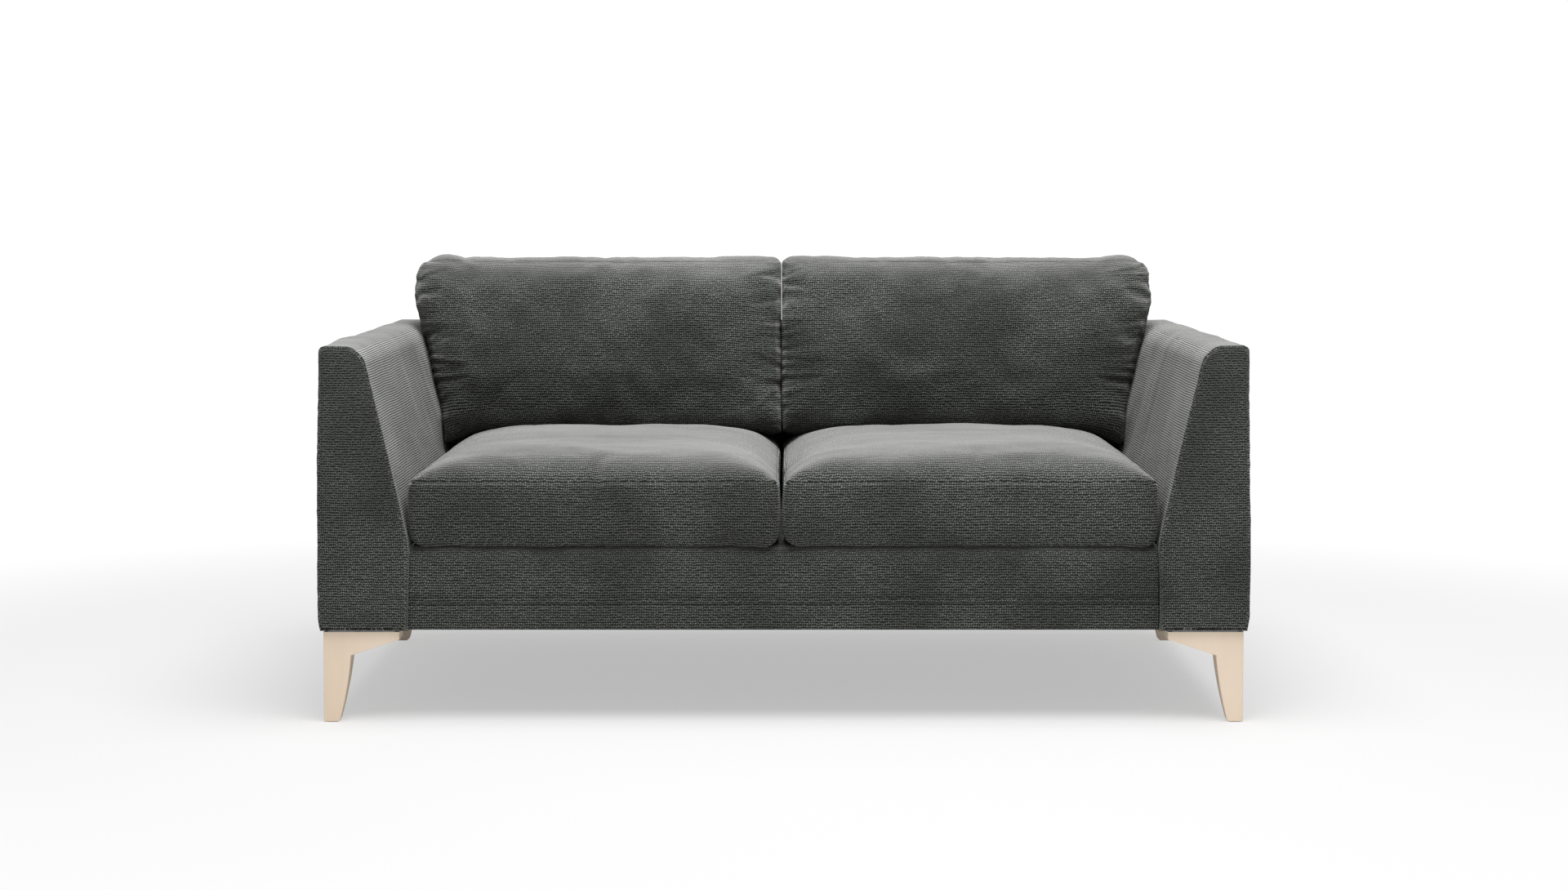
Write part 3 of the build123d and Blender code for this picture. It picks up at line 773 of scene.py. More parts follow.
def normals_of(made: bpy.types.Object) -> Points:
    """The outward direction at each point of a mesh.

    Args:
        made: the mesh's object.

    Returns:
        The directions, one in a row.
    """
    found = np.empty(len(made.data.vertices) * 3)
    made.data.vertices.foreach_get("normal", found)
    return found.reshape(-1, 3)


@dataclass(frozen=True)
class Seam:
    """The groove that a row of stitches draws in."""

    depth: float
    width: float

    def hollow(self, distance: Points, share: Union[float, Points] = 1.0) -> Points:
        """How far the cloth is moved at a distance from the stitches."""
        return -self.depth * share * np.exp(-((distance / self.width) ** 2))


@dataclass(frozen=True)
class Gathers:
    """The creases that run inwards from one tight edge of a cover."""

    strength: float
    wave: float
    reach: float


def ripples(places: Points, seed: int, layers: Layers) -> Points:
    """Add ripples of several sizes.

    Args:
        places: points, one in a row.
        seed: chooses the first pattern, and each further layer takes the next.
        layers: strength and usual wave length of each.

    Returns:
        The displacement of each point.
    """
    numbered = enumerate(layers, seed)
    return sum(strength * ripple(places, wave, chosen) for chosen, (strength, wave) in numbered)


@dataclass
class Upholstery:
    """A stuffed and covered form. Each kind gives its own grid, shape and creases."""

    cloth: bpy.types.Material
    side: Side = Side.RIGHT
    pitch: float = 0.0075

    def grid(self) -> Lattice:
        """The form's surface grid."""
        raise NotImplementedError

    def shape(self, grid: Lattice) -> Points:
        """Where the grid's points go."""
        raise NotImplementedError

    def creases(self, grid: Lattice, places: Points) -> Points:
        """How far each point moves outwards, for seams and gathers."""
        raise NotImplementedError

    def cut(self, grid: Lattice) -> dict[Panel, Points]:
        """The cloth's u and v on each panel: ribs run along u.

        Args:
            grid: the form's surface grid.

        Returns:
            u and v of each point, by panel.
        """
        across, along, up = grid.rest.T
        round_top = up + np.where(grid.on(Panel.TOP), grid.from_edge(Panel.FRONT), 0)
        return {
            Panel.FRONT: np.stack([across, up], axis=1),
            Panel.REAR: np.stack([across, up], axis=1),
            Panel.INNER: np.stack([along, up], axis=1),
            Panel.OUTER: np.stack([along, up], axis=1),
            Panel.TOP: np.stack([across, round_top], axis=1),
            Panel.UNDER: np.stack([across, along], axis=1),
        }

    def sew(self, name: str, body: str, nodes: tuple[str, ...], fill: float) -> bpy.types.Object:
        """Make the piece, lay its cloth and give it its place in the part.

        Args:
            name: the piece's name.
            body: the CAD body it rides on.
            nodes: the CAD nodes it stands for.
            fill: how full it is stuffed, from 0 to 1; not used.

        Returns:
            The piece.
        """
        grid = self.grid()
        places = self.shape(grid)
        mirrored = self.side is Side.LEFT
        if mirrored:
            places = places * (-1, 1, 1)
        made = make_mesh(name, places, grid.quads, mirrored)
        self.settle(made, grid)
        puffed = normals_of(made) * self.creases(grid, places)[:, None]
        move_to(made, self.rest(places_of(made) + puffed))
        self.lay_cloth(made, grid, mirrored)
        made.data.materials.append(self.cloth)
        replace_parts(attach(made, body), *nodes)
        LOG.info("%s: %d faces", name, len(grid.quads))
        return made

    def rest(self, places: Points) -> Points:
        """Keep the points clear of what the form lies on."""
        return places

    def settle(self, made: bpy.types.Object, grid: Lattice) -> None:
        """Forms stretched over boards keep their shape."""

    def lay_cloth(self, made: bpy.types.Object, grid: Lattice, mirrored: bool) -> None:
        """Write the UV map of the cut.

        Args:
            made: the piece.
            grid: its grid.
            mirrored: whether its faces were turned over.
        """
        cut = self.cut(grid)
        quads = grid.quads[:, ::-1] if mirrored else grid.quads
        uv = np.zeros((len(quads), 4, 2))
        for panel, spread in cut.items():
            rows = grid.panels == panel.value
            uv[rows] = spread[quads[rows]]
        layer = made.data.uv_layers.new(name="cut")
        layer.data.foreach_set("uv", uv.ravel())


# How the cover behaves while a cushion is filled
CLOTH = {
    "quality": 4,
    "mass": 0.2,
    "tension_stiffness": 12,
    "compression_stiffness": 4,
    "shear_stiffness": 3,
    "bending_stiffness": 0.25,
}


@dataclass
class LooseCushion(Upholstery):
    """A cushion that nothing holds in shape, so that its cover creases as it is filled."""

    pressure: float = 4.0
    cap: float = 0.026
    crease_share: float = 0.8
    swell_share: float = 0.12
    slack: float = -0.035
    moments: int = 20
    broad_rounds: int = 60
    fine_rounds: int = 2
    seam: Seam = Seam(0.0022, 0.0022)
    zip_middle: float = 0.332
    zip_half: float = 0.256
    zip_reach: float = 0.027
    zip_ease: float = 0.008
    meeting: float = -0.004
    meeting_gap: float = 0.0005

    def beside(self, places: Points, share: Points) -> Points:
        """Shift the inner side towards the plane where the two cushions meet.

        Args:
            places: the points on the right-hand side of the sofa.
            share: how far each point is from the inner to the outer side, from 0 to 1.

        Returns:
            The points.
        """
        shift = self.meeting if self.side is Side.RIGHT else -self.meeting
        return places + np.stack([shift * (1 - share) ** 2, 0 * share, 0 * share], axis=1)

    def rest(self, places: Points) -> Points:
        """Press the inner side flat where the neighbour touches it.

        Args:
            places: where the points are.

        Returns:
            Where they rest.
        """
        if self.side is Side.RIGHT:
            places[:, 0] = np.maximum(places[:, 0], self.meeting + self.meeting_gap)
        else:
            places[:, 0] = np.minimum(places[:, 0], self.meeting - self.meeting_gap)
        return places

    def pocket(self, places: Points, across: Points) -> Points:
        """How far each point belongs to the pocket of the zip, from 0 to 1.

        Args:
            places: where the points are.
            across: how far each is from the middle line of the zip's tape.

        Returns:
            The shares, easing off round the tape.
        """
        beside = np.abs(np.abs(places[:, 0]) - self.zip_middle)
        along = np.clip((self.zip_half - beside) / self.zip_ease, 0, 1)
        return along * np.clip((self.zip_reach - np.abs(across)) / self.zip_ease, 0, 1)

    def settle(self, made: bpy.types.Object, grid: Lattice) -> None:
        """Fill the cover by cloth simulation and keep the creases that it throws.

        Args:
            made: the piece, slightly smaller than the filled cushion.
            grid: its grid.
        """
        trial = made.copy()
        trial.data = made.data.copy()
        bpy.context.scene.collection.objects.link(trial)
        filling = trial.modifiers.new("filling", "CLOTH")
        filling.settings.use_pressure = True
        filling.settings.uniform_pressure_force = self.pressure
        filling.settings.shrink_min = self.slack
        filling.settings.effector_weights.gravity = 0
        for setting, value in CLOTH.items():
            setattr(filling.settings, setting, value)
        filling.point_cache.frame_end = self.moments
        scene = bpy.context.scene
        for moment in range(1, self.moments + 1):
            scene.frame_set(moment)
        view = bpy.context.evaluated_depsgraph_get()
        filled = trial.evaluated_get(view).to_mesh()
        flat = np.empty(len(filled.vertices) * 3)
        filled.vertices.foreach_get("co", flat)
        trial.evaluated_get(view).to_mesh_clear()
        scene.frame_set(1)
        bpy.data.objects.remove(trial)
        start = places_of(made)
        moved = flat.reshape(-1, 3) - start
        length = np.linalg.norm(moved, axis=1, keepdims=True)
        moved *= np.minimum(1, self.cap / np.maximum(length, 1e-9))
        broad = self.smoothed(moved, grid, self.broad_rounds)
        fine = self.smoothed(moved, grid, self.fine_rounds) - broad
        LOG.info("%s creases: %.1f mm at most", made.name, 1000 * np.abs(fine).max())
        move_to(made, start + fine * self.crease_share + broad * self.swell_share)

    @staticmethod
    def smoothed(values: Points, grid: Lattice, rounds: int) -> Points:
        """Average each point's value with its neighbours'.

        Args:
            values: three numbers a point.
            grid: the grid that says who the neighbours are.
            rounds: how many times.

        Returns:
            The smoothed values.
        """
        first = np.concatenate([grid.quads[:, corner] for corner in range(4)])
        second = np.concatenate([grid.quads[:, (corner + 1) % 4] for corner in range(4)])
        count = len(values)
        share = np.bincount(first, minlength=count) + np.bincount(second, minlength=count)
        result = values.copy()
        for _ in range(rounds):
            total = np.empty_like(result)
            for axis in range(3):
                column = result[:, axis]
                total[:, axis] = np.bincount(first, column[second], count) + np.bincount(
                    second, column[first], count
                )
            result = 0.5 * result + 0.5 * total / share[:, None]
        return result


@dataclass
class SeatCushion(LooseCushion):
    """A boxed seat cushion: a crowned top over an upright border that bulges a little."""

    inner: float = 0.0048
    outer: float = 0.660
    front: float = -0.4255
    rear: float = 0.348
    low: float = 0.3075
    border: float = 0.1115
    crown: float = 0.0572
    crown_reach: float = 0.33
    crown_power: float = 5.1
    front_power: float = 6.3
    rear_radius: float = 1.141
    bulge: float = 0.0065
    side_bulge: float = 0.0025
    foot_round: float = 0.014
    foot_side_round: float = 0.028
    foot_outer_round: float = 0.025
    overhang: float = 0.0032
    overhang_depth: float = 0.026
    overhang_height: float = 0.04
    corner: float = 0.014
    drawn_in: float = 0.003
    belly: float = 0.006
    gather: float = 0.0011
    roll: float = 0.0011
    fine_roll: float = 0.0006
    zip_height: float = 0.3643
    zip_bed: float = 0.3454
    crease_share: float = 0.4
    swell_share: float = 0.04

    def grid(self) -> Lattice:
        """The cushion's surface grid.

        Returns:
            The grid.
        """
        return Lattice(
            spaced(self.outer - self.inner, self.pitch),
            spaced(self.rear - self.front, self.pitch),
            spaced(self.border, self.pitch * 0.75),
        )

    def arch(self, inset: Points, power: float) -> Points:
        """Height of the crown at a distance from its seam, as a share of its full height."""
        return 1 - (1 - np.clip(inset / self.crown_reach, 0, 1)) ** power

    def rear_arch(self, inset: Points) -> Points:
        """The same from the rear seam, where the back cushion presses on it.

        Args:
            inset: distance from the rear seam.

        Returns:
            The shares.
        """
        reach = np.clip(0.35 - inset, 0, None)
        drop = self.rear_radius - np.sqrt(self.rear_radius**2 - reach**2)
        return np.clip((0.055 - drop) / 0.055, 0, 1)

    def rise(self, from_side: Points, from_front: Points, from_rear: Points) -> Points:
        """Height of the top over its seam.

        Args:
            from_side: distance from the nearer side seam.
            from_front: distance from the front seam.
            from_rear: distance from the rear seam.

        Returns:
            The heights.
        """
        side, front = self.arch(from_side, self.crown_power), self.arch(from_front, self.front_power)
        arches = (side, front, self.rear_arch(from_rear))
        total = sum(np.maximum(arch, 1e-4) ** -3.0 for arch in arches) - 2
        return self.crown * total ** (-1 / 3.0)

    def top_height(self, x: Points, y: Points) -> Points:
        """Height of the top at places on the floor plan, very low beside the cushion.

        Args:
            x: distance from the middle of the sofa.
            y: place from front to rear.

        Returns:
            The heights.
        """
        from_side = np.minimum(x - self.inner, self.outer - x)
        over = (from_side > 0) & (y < self.rear)
        top = self.low + self.border + self.rise(from_side, y - self.front, self.rear - y)
        return np.where(over, top, 0.0)

    def shape(self, grid: Lattice) -> Points:
        """Bulge the border, round the corners and raise the crown.

        Args:
            grid: the form's surface grid.

        Returns:
            Where its points go.
        """
        across, along, up = grid.rest.T
        width, depth = grid.size[:2]
        fuller = 1 - (2 * up / self.border - 1) ** 2
        foot_side = np.where(across > width / 2, self.foot_outer_round, self.foot_side_round)
        half_x = width / 2 + self.side_bulge * fuller - self.foot_inset(up, foot_side)
        half_y = depth / 2 + self.bulge * fuller - self.foot_inset(up, self.foot_round)
        x = (across - width / 2) * half_x / (width / 2)
        y = (along - depth / 2) * half_y / (depth / 2)
        from_side, from_end = half_x - np.abs(x), half_y - np.abs(y)
        from_side, from_end = turn(from_side, from_end, self.corner)
        x, y = np.sign(x) * (half_x - from_side), np.sign(y) * (half_y - from_end)
        rise = self.rise(half_x - np.abs(x), y + half_y, half_y - y)
        z = up + np.where(grid.on(Panel.TOP), rise, 0)
        ahead = np.clip((self.overhang_depth - half_y - y) / self.overhang_depth, 0, 1)
        z = z - self.overhang * (ahead * np.clip(1 - up / self.overhang_height, 0, 1)) ** 0.5
        give = np.where(x > 0, -self.belly * np.clip(up / self.border, 0, 1), 0.0)
        pull_x = give * (1 - (y / half_y) ** 2) * (np.abs(x) / half_x) ** 6
        pull_y = self.drawn_in * (1 - (x / half_x) ** 2) * (np.abs(y) / half_y) ** 6
        x, y = x - np.sign(x) * pull_x, y - np.sign(y) * pull_y
        middle = ((self.inner + self.outer) / 2, (self.front + self.rear) / 2, self.low)
        return self.beside(np.stack([x, y, z], axis=1) + middle, across / width)

    def rest(self, places: Points) -> Points:
        """Leave a pocket for the zip in the rear border.

        Args:
            places: where the points are.

        Returns:
            Where they rest.
        """
        places = super().rest(places)
        share = self.pocket(places, places[:, 2] - self.zip_height)
        sunk = places[:, 1] + share * (self.zip_bed - places[:, 1])
        places[:, 1] = np.where(places[:, 1] > self.zip_bed, sunk, places[:, 1])
        return places

    @staticmethod
    def foot_inset(up: Points, radius: Union[float, Points]) -> Points:
        """How far the rounding of the foot sets the side in at each height."""
        return radius - np.sqrt(np.clip(radius**2 - np.clip(radius - up, 0, None) ** 2, 0, None))

    def creases(self, grid: Lattice, places: Points) -> Points:
        """Hollow the top seam, gather it and let the crown roll a little.

        Args:
            grid: the form's surface grid.
            places: where the points are.

        Returns:
            How far each point moves outwards.
        """
        across, along, up = grid.rest.T
        top, under = grid.on(Panel.TOP), grid.on(Panel.UNDER)
        seed = 11 + self.side.value
        from_seam = np.where(top, np.inf, self.border - up)
        edges = ((Panel.FRONT, across), (Panel.REAR, across), (Panel.INNER, along), (Panel.OUTER, along))
        move = np.zeros(len(up))
        nearest = np.full(len(up), np.inf)
        for number, (panel, run) in enumerate(edges):
            distance = np.where(top, grid.from_edge(panel), from_seam + 8 * grid.from_edge(panel))
            move += self.gather * pucker(distance, run, seed + 10 * number)
            nearest = np.minimum(nearest, distance)
        move += self.seam.hollow(nearest)
        rolls = self.roll * ripple(places * (1, 1, 0), 0.21, seed + 70)
        rolls += self.fine_roll * ripple(places * (1, 1.6, 0), 0.085, seed + 71)
        move += np.where(top, rolls * np.clip(nearest / 0.06, 0, 1), 0.0)
        move += np.where(top | under, 0.0, self.fine_roll * ripple(places, 0.11, seed + 72))
        return np.where(under, 0.0, move)


@dataclass
class BackCushion(LooseCushion):
    """A back cushion that leans on the frame and fans out over the arm."""

    inner: float = 0.0012
    foot_reach: float = 0.682
    fan: float = 0.272
    height: float = 0.358
    foot: float = 0.150
    foot_height: float = 0.468
    lean: float = math.radians(7.0)
    face_lean: float = math.radians(7.5)
    back_slope: float = math.radians(2.4)
    foot_depth: float = 0.2116
    head_round: float = 0.056
    head_rear_round: float = 0.040
    foot_round: float = 0.009
    foot_front_round: float = 0.034
    head_lean: float = 0.042
    side_round: float = 0.024
    rear_side_round: float = 0.038
    corner: float = 0.052
    foot_corner: float = 0.007
    corner_sag: float = 0.027
    top_sag: float = 0.0078
    fullness: float = 0.034
    top_draw: float = 1.75
    settle_depth: float = 0.016
    rest_gap: float = 0.0012
    level_pitch: float = 0.0042
    edge_calm: float = 0.6
    edge_reach: float = 0.011
    seam: Seam = Seam(0.0022, 0.0024)
    seam_share: float = 0.62
    inner_gathers: Gathers = Gathers(0.0038, 0.019, 0.045)
    outer_gathers: Gathers = Gathers(0.0037, 0.018, 0.044)
    head_gathers: Gathers = Gathers(0.0014, 0.030, 0.016)
    fade: float = 0.05
    dents: Layers = ((0.0022, 0.17), (0.0010, 0.07))
    zip_middle: float = 0.3425
    zip_depth: float = 0.256
    zip_bed: float = 0.4662

    def grid(self) -> Lattice:
        """The cushion's surface grid.

        Returns:
            The grid.
        """
        return Lattice(
            spaced(self.foot_reach - self.inner, self.pitch),
            spaced(self.foot_depth, self.pitch * 1.2),
            spaced(self.height, self.level_pitch),
        )

    def shape(self, grid: Lattice) -> Points:
        """Round the edges and corners, fan the side out, fill the face and lean it all back.

        Args:
            grid: the form's surface grid.

        Returns:
            Where its points go.
        """
        width, depth, height = grid.size
        a, b, c = grid.rounded(
            (Panel.INNER, Panel.FRONT, self.side_round),
            (Panel.OUTER, Panel.FRONT, self.side_round),
            (Panel.INNER, Panel.REAR, self.rear_side_round),
            (Panel.OUTER, Panel.REAR, self.rear_side_round),
            (Panel.TOP, Panel.FRONT, self.head_round),
            (Panel.TOP, Panel.REAR, self.head_rear_round),
            (Panel.UNDER, Panel.FRONT, self.foot_front_round),
            (Panel.UNDER, Panel.REAR, self.foot_round),
            (Panel.UNDER, Panel.INNER, self.foot_corner * 0.6),
            (Panel.UNDER, Panel.OUTER, self.foot_corner),
            (Panel.TOP, Panel.INNER, self.corner * 0.4),
            (Panel.TOP, Panel.OUTER, self.corner),
        )
        share = c / height
        side_share = a / width
        full = (1 - np.abs(2 * side_share - 1) ** 5) * (1 - (2 * share - 1) ** 2)
        front = c * math.tan(self.face_lean) - self.fullness * full
        front = front + self.head_lean * np.clip((share - 0.5) / 0.5, 0, 1) ** 2
        back = self.foot_depth - c * math.tan(self.lean - self.back_slope)
        y = front + (b / depth) * (back - front)
        drawn = 0.003 * (1 - (2 * share - 1) ** 2) * (side_share > 0.5)
        spread = self.fan * c - self.top_draw * np.clip(c - 0.6 * height, 0, None) ** 2
        x = self.inner + side_share * (width + spread)
        x += drawn * (1 - 2 * side_share) * np.abs(2 * side_share - 1) ** 4
        sag = self.top_sag * np.clip((1 - side_share) / 0.12, 0, 1) * share**4
        low_corner = np.clip((side_share - 0.84) / 0.16, 0, 1) ** 2
        foot_sag = self.settle_depth + self.corner_sag * low_corner
        c = c - sag - foot_sag * np.clip(1 - c / 0.09, 0, 1) ** 2
        row_y = self.foot + y * math.cos(self.lean) + c * math.sin(self.lean)
        row_z = self.foot_height - y * math.sin(self.lean) + c * math.cos(self.lean)
        return self.beside(np.stack([x, row_y, row_z], axis=1), side_share)

    def rest(self, places: Points) -> Points:
        """Flatten the foot where it presses on the seat, and leave a pocket for its zip.

        Args:
            places: where the points are.

        Returns:
            Where they rest.
        """
        places = super().rest(places)
        seat = SeatCushion(cloth=self.cloth)
        floor = seat.top_height(np.abs(places[:, 0]), places[:, 1]) + self.rest_gap
        places[:, 2] = np.maximum(places[:, 2], floor)
        share = self.pocket(places, places[:, 1] - self.zip_depth)
        raised = places[:, 2] + share * (self.zip_bed - places[:, 2])
        places[:, 2] = np.where(places[:, 2] < self.zip_bed, raised, places[:, 2])
        return places

    def creases(self, grid: Lattice, places: Points) -> Points:
        """Gather the seams round the cushion's rear edge and dent its face softly.

        Args:
            grid: the form's surface grid.
            places: where the points are.

        Returns:
            How far each point moves outwards.
        """
        across, along, up = grid.rest.T
        _, depth, height = grid.size
        seed = 211 + 5 * self.side.value
        front = grid.on(Panel.FRONT)
        band = ~(front | grid.on(Panel.REAR))
        seam = self.seam_share * depth
        edges = (
            (Panel.INNER, up, self.inner_gathers),
            (Panel.OUTER, up, self.outer_gathers),
            (Panel.TOP, across, self.head_gathers),
        )
        move = np.zeros(len(up))
        for number, (panel, run, kind) in enumerate(edges):
            inset = grid.from_edge(panel)
            behind = np.clip(along - seam, 0, None)
            inset = np.where(grid.on(Panel.REAR), depth - seam + inset, inset + behind)
            gathers = folds(inset, run, seed + 10 * number, kind.wave, kind.reach)
            fade = np.clip(height - up, 0, self.fade) / self.fade if run is up else 1.0
            calm_edge = 1 - self.edge_calm * np.exp(-((inset / self.edge_reach) ** 2))
            move += kind.strength * gathers * fade * calm_edge
        near_seam = np.where(band, np.abs(along - seam), np.inf)
        move += self.seam.hollow(near_seam)
        calm = np.clip((height - up) / 0.10, 0.3, 1)
        move += calm * ripples(places, seed + 80, self.dents)
        return np.where(grid.on(Panel.UNDER), np.minimum(move, 0), move)


@dataclass
class ArmUpholstery(Upholstery):
    """A padded arm: upright outside, leaning inside, with a round shoulder and a sewn front panel."""

    inner: float = 0.661
    outer: float = 0.820
    front: float = -0.440
    rear: float = 0.440
    low: float = 0.161
    high: float = 0.664
    bend: float = 0.318
    slope: float = math.radians(13.0)
    bend_ease: float = 0.010
    shoulder: float = 0.031
    outer_edge: float = 0.013
    end_edge: float = 0.005
    tuck: float = 0.0045
    front_dome: float = 0.0025
    rear_dome: float = 0.0015
    cushion_gap: float = 0.0136
    cushion_fan: float = 0.041
    cushion_foot: float = 0.468
    clearance: float = 0.0026
    most_swell: float = 0.010
    wrinkle: float = 0.0007
    gather: float = 0.0003
    seam: Seam = Seam(0.0016, 0.002)
    rear_seam: Seam = Seam(0.0014, 0.002)
    padding: Layers = ((0.0008, 0.26), (0.0002, 0.08))

    def grid(self) -> Lattice:
        """The arm's surface grid.

        Returns:
            The grid.
        """
        return Lattice(
            spaced(self.outer - self.inner, self.pitch * 0.7),
            spaced(self.rear - self.front, self.pitch),
            spaced(self.high - self.low, self.pitch),
        )

    def inner_face(self, height: Points) -> Points:
        """How far out the inner face is at a height."""
        over = height - self.bend
        return self.inner + math.tan(self.slope) * (over + np.sqrt(over**2 + self.bend_ease**2)) / 2

    def shape(self, grid: Lattice) -> Points:
        """Lean the inner face, round the edges and dome the front panel.

        Args:
            grid: the form's surface grid.

        Returns:
            Where its points go.
        """
        across, along, up = grid.rest.T
        width, length, height = grid.size
        ends = np.minimum(along, length - along)
        bite = self.end_edge - np.sqrt(
            np.clip(self.end_edge**2 - np.clip(self.end_edge - ends, 0, None) ** 2, 0, None)
        )
        c = bite + up * (height - 2 * bite) / height
        z = self.low + c
        inside, outside = self.inner_face(z) + bite, self.outer - bite
        tucked = self.tuck * np.clip(1 - c / 0.03, 0, 1) ** 2
        outside = outside - tucked
        span = outside - inside
        a = across / width * span
        from_top = self.high - bite - z
        a, from_top = turn(a, from_top, self.shoulder)
        rest, from_top = turn(span - a, from_top, self.outer_edge)
        a = span - rest
        z = self.high - bite - from_top
        x = inside + a
        middle = np.sin(math.pi * across / width) * np.sin(math.pi * np.clip(up / height, 0, 1)) ** 0.5
        y = self.front + along - np.where(grid.on(Panel.FRONT), self.front_dome * middle, 0)
        y = y + np.where(grid.on(Panel.REAR), self.rear_dome * middle, 0)
        return np.stack([x, y, z], axis=1)

    def cut(self, grid: Lattice) -> dict[Panel, Points]:
        """Ribs lie level on the front panel and run from front to rear round the band.

        Args:
            grid: the form's surface grid.

        Returns:
            u and v of each point, by panel.
        """
        across, along, up = grid.rest.T
        spread = super().cut(grid)
        slant = up / math.cos(self.slope)
        over_top = grid.size[2] / math.cos(self.slope) + across * 0.6
        down_outside = over_top.max() + grid.size[2] - up
        spread[Panel.INNER] = np.stack([along, slant], axis=1)
        spread[Panel.TOP] = np.stack([along, over_top], axis=1)
        spread[Panel.OUTER] = np.stack([along, down_outside], axis=1)
        return spread

    def creases(self, grid: Lattice, places: Points) -> Points:
        """Hollow the seams of the end panels and let the padding ripple.

        Args:
            grid: the form's surface grid.
            places: where the points are.

        Returns:
            How far each point moves outwards.
        """
        across, along, up = grid.rest.T
        seed = 401 + 7 * self.side.value
        front, under = grid.on(Panel.FRONT), grid.on(Panel.UNDER)
        sides = ((Panel.INNER, up), (Panel.TOP, across), (Panel.OUTER, up))
        move = np.zeros(len(up))
        seam = np.full(len(up), np.inf)
        for number, (panel, run) in enumerate(sides):
            distance = np.where(front, grid.from_edge(panel), along + 12 * grid.from_edge(panel))
            move += self.gather * pucker(distance, run, seed + 10 * number, 0.024)
            seam = np.minimum(seam, distance)
        move += self.seam.hollow(seam, np.where(front, 1.0, 0.5))
        from_rear = np.abs(grid.from_edge(Panel.REAR) - 0.004) + 50 * grid.on(Panel.REAR)
        move += self.rear_seam.hollow(from_rear) + ripples(places, seed + 60, self.padding)
        inside = grid.on(Panel.INNER)
        pressed = np.clip((places[:, 1] - 0.09) / 0.07, 0, 1) * np.clip((0.42 - places[:, 1]) / 0.06, 0, 1)
        swell = np.clip((places[:, 2] - 0.42) / 0.06, 0, 1) * np.clip((0.66 - places[:, 2]) / 0.05, 0, 1)
        gap = self.cushion_gap - self.cushion_fan * (places[:, 2] - self.cushion_foot)
        move += np.where(inside, pressed * swell * np.clip(gap - self.clearance, 0, self.most_swell), 0)
        hang = places * (0, 1, 0) + places[:, 2:] * (0, 0.25, 0)
        wrinkles = ripple(hang, 0.034, seed + 62, 20) * np.clip(0.5 + ripple(places, 0.2, seed + 63), 0, 1)
        behind = np.clip((places[:, 1] + 0.35) / 0.3, 0.15, 1)
        move += np.where(inside, self.wrinkle * wrinkles * behind * np.clip(up / 0.1, 0, 1), 0)
        return np.where(under, 0.0, move)


@dataclass
class BaseFront(Upholstery):
    """The upholstered front of the base, set back a little between the arms."""

    half: float = 0.661
    front: float = -0.425
    low: float = 0.161
    high: float = 0.307
    flap: float = 0.090
    thin: float = 0.030
    edge: float = 0.024
    low_edge: float = 0.004
    dome: float = 0.0012
    seam_height: float = 0.051
    seam_gap: float = 0.006
    seam: Seam = Seam(0.0034, 0.0026)
    gather: float = 0.00035
    padding: Layers = ((0.0009, 0.23), (0.0003, 0.06))

    def grid(self) -> Lattice:
        """The base front's surface grid.

        Returns:
            The grid.
        """
        seams = (self.seam_height - self.seam_gap, self.seam_height + self.seam_gap)
        return Lattice(
            spaced(2 * self.half, self.pitch * 1.2),
            spaced(self.flap, self.pitch),
            spaced(self.high - self.low, self.pitch * 0.8, seams),
        )

    def shape(self, grid: Lattice) -> Points:
        """Round the top edge and keep the flap over the deck thin.

        Args:
            grid: the form's surface grid.

        Returns:
            Where its points go.
        """
        edges = ((Panel.TOP, Panel.FRONT, self.edge), (Panel.UNDER, Panel.FRONT, self.low_edge))
        a, b, c = grid.rounded(*edges)
        reach = self.thin + (self.flap - self.thin) * np.clip((c - 0.105) / 0.02, 0, 1)
        y = self.front + b / self.flap * reach
        dome = self.dome * np.sin(math.pi * grid.rest[:, 2] / grid.size[2])
        y -= np.where(b < 1e-6, dome, 0)
        return np.stack([a - self.half, y, self.low + c], axis=1)

    def creases(self, grid: Lattice, places: Points) -> Points:
        """Draw in the double row of stitches and ripple the padding.

        Args:
            grid: the form's surface grid.
            places: where the points are.

        Returns:
            How far each point moves outwards.
        """
        across, _, up = grid.rest.T
        front = grid.on(Panel.FRONT)
        move = np.zeros(len(up))
        for number, offset in enumerate((-self.seam_gap, self.seam_gap)):
            distance = np.abs(up - self.seam_height - offset)
            gathers = pucker(distance, across, 600 + 10 * number, 0.02)
            move += self.seam.hollow(distance) + self.gather * gathers
        broad = ripples(places, 640, self.padding)
        return np.where(front, move, 0.0) + np.where(front | grid.on(Panel.TOP), broad, 0.0)


@dataclass
class Deck(Upholstery):
    """The padded deck that the seat cushions lie on."""

    half: float = 0.661
    front: float = -0.336
    rear: float = 0.356
    low: float = 0.277
    high: float = 0.307
    cell: float = 0.014
    padding: Layers = ((0.0005, 0.16),)

    def grid(self) -> Lattice:
        """The deck's surface grid.

        Returns:
            The grid.
        """
        return Lattice(
            spaced(2 * self.half, self.cell),
            spaced(self.rear - self.front, self.cell),
            spaced(self.high - self.low, 0.008),
        )

    def shape(self, grid: Lattice) -> Points:
        """Lay the deck between the arms."""
        return grid.rest + (-self.half, self.front, self.low)

    def creases(self, grid: Lattice, places: Points) -> Points:
        """Let the deck sink a little between its seams.

        Args:
            grid: the form's surface grid.
            places: where the points are.

        Returns:
            How far each point moves outwards.
        """
        edge = np.minimum(grid.from_edge(Panel.FRONT), grid.from_edge(Panel.REAR))
        sink = ripples(places, 700, self.padding) - 0.0006 - 0.0016 * np.clip(edge / 0.1, 0, 1)
        return np.where(grid.on(Panel.TOP), sink, 0.0)


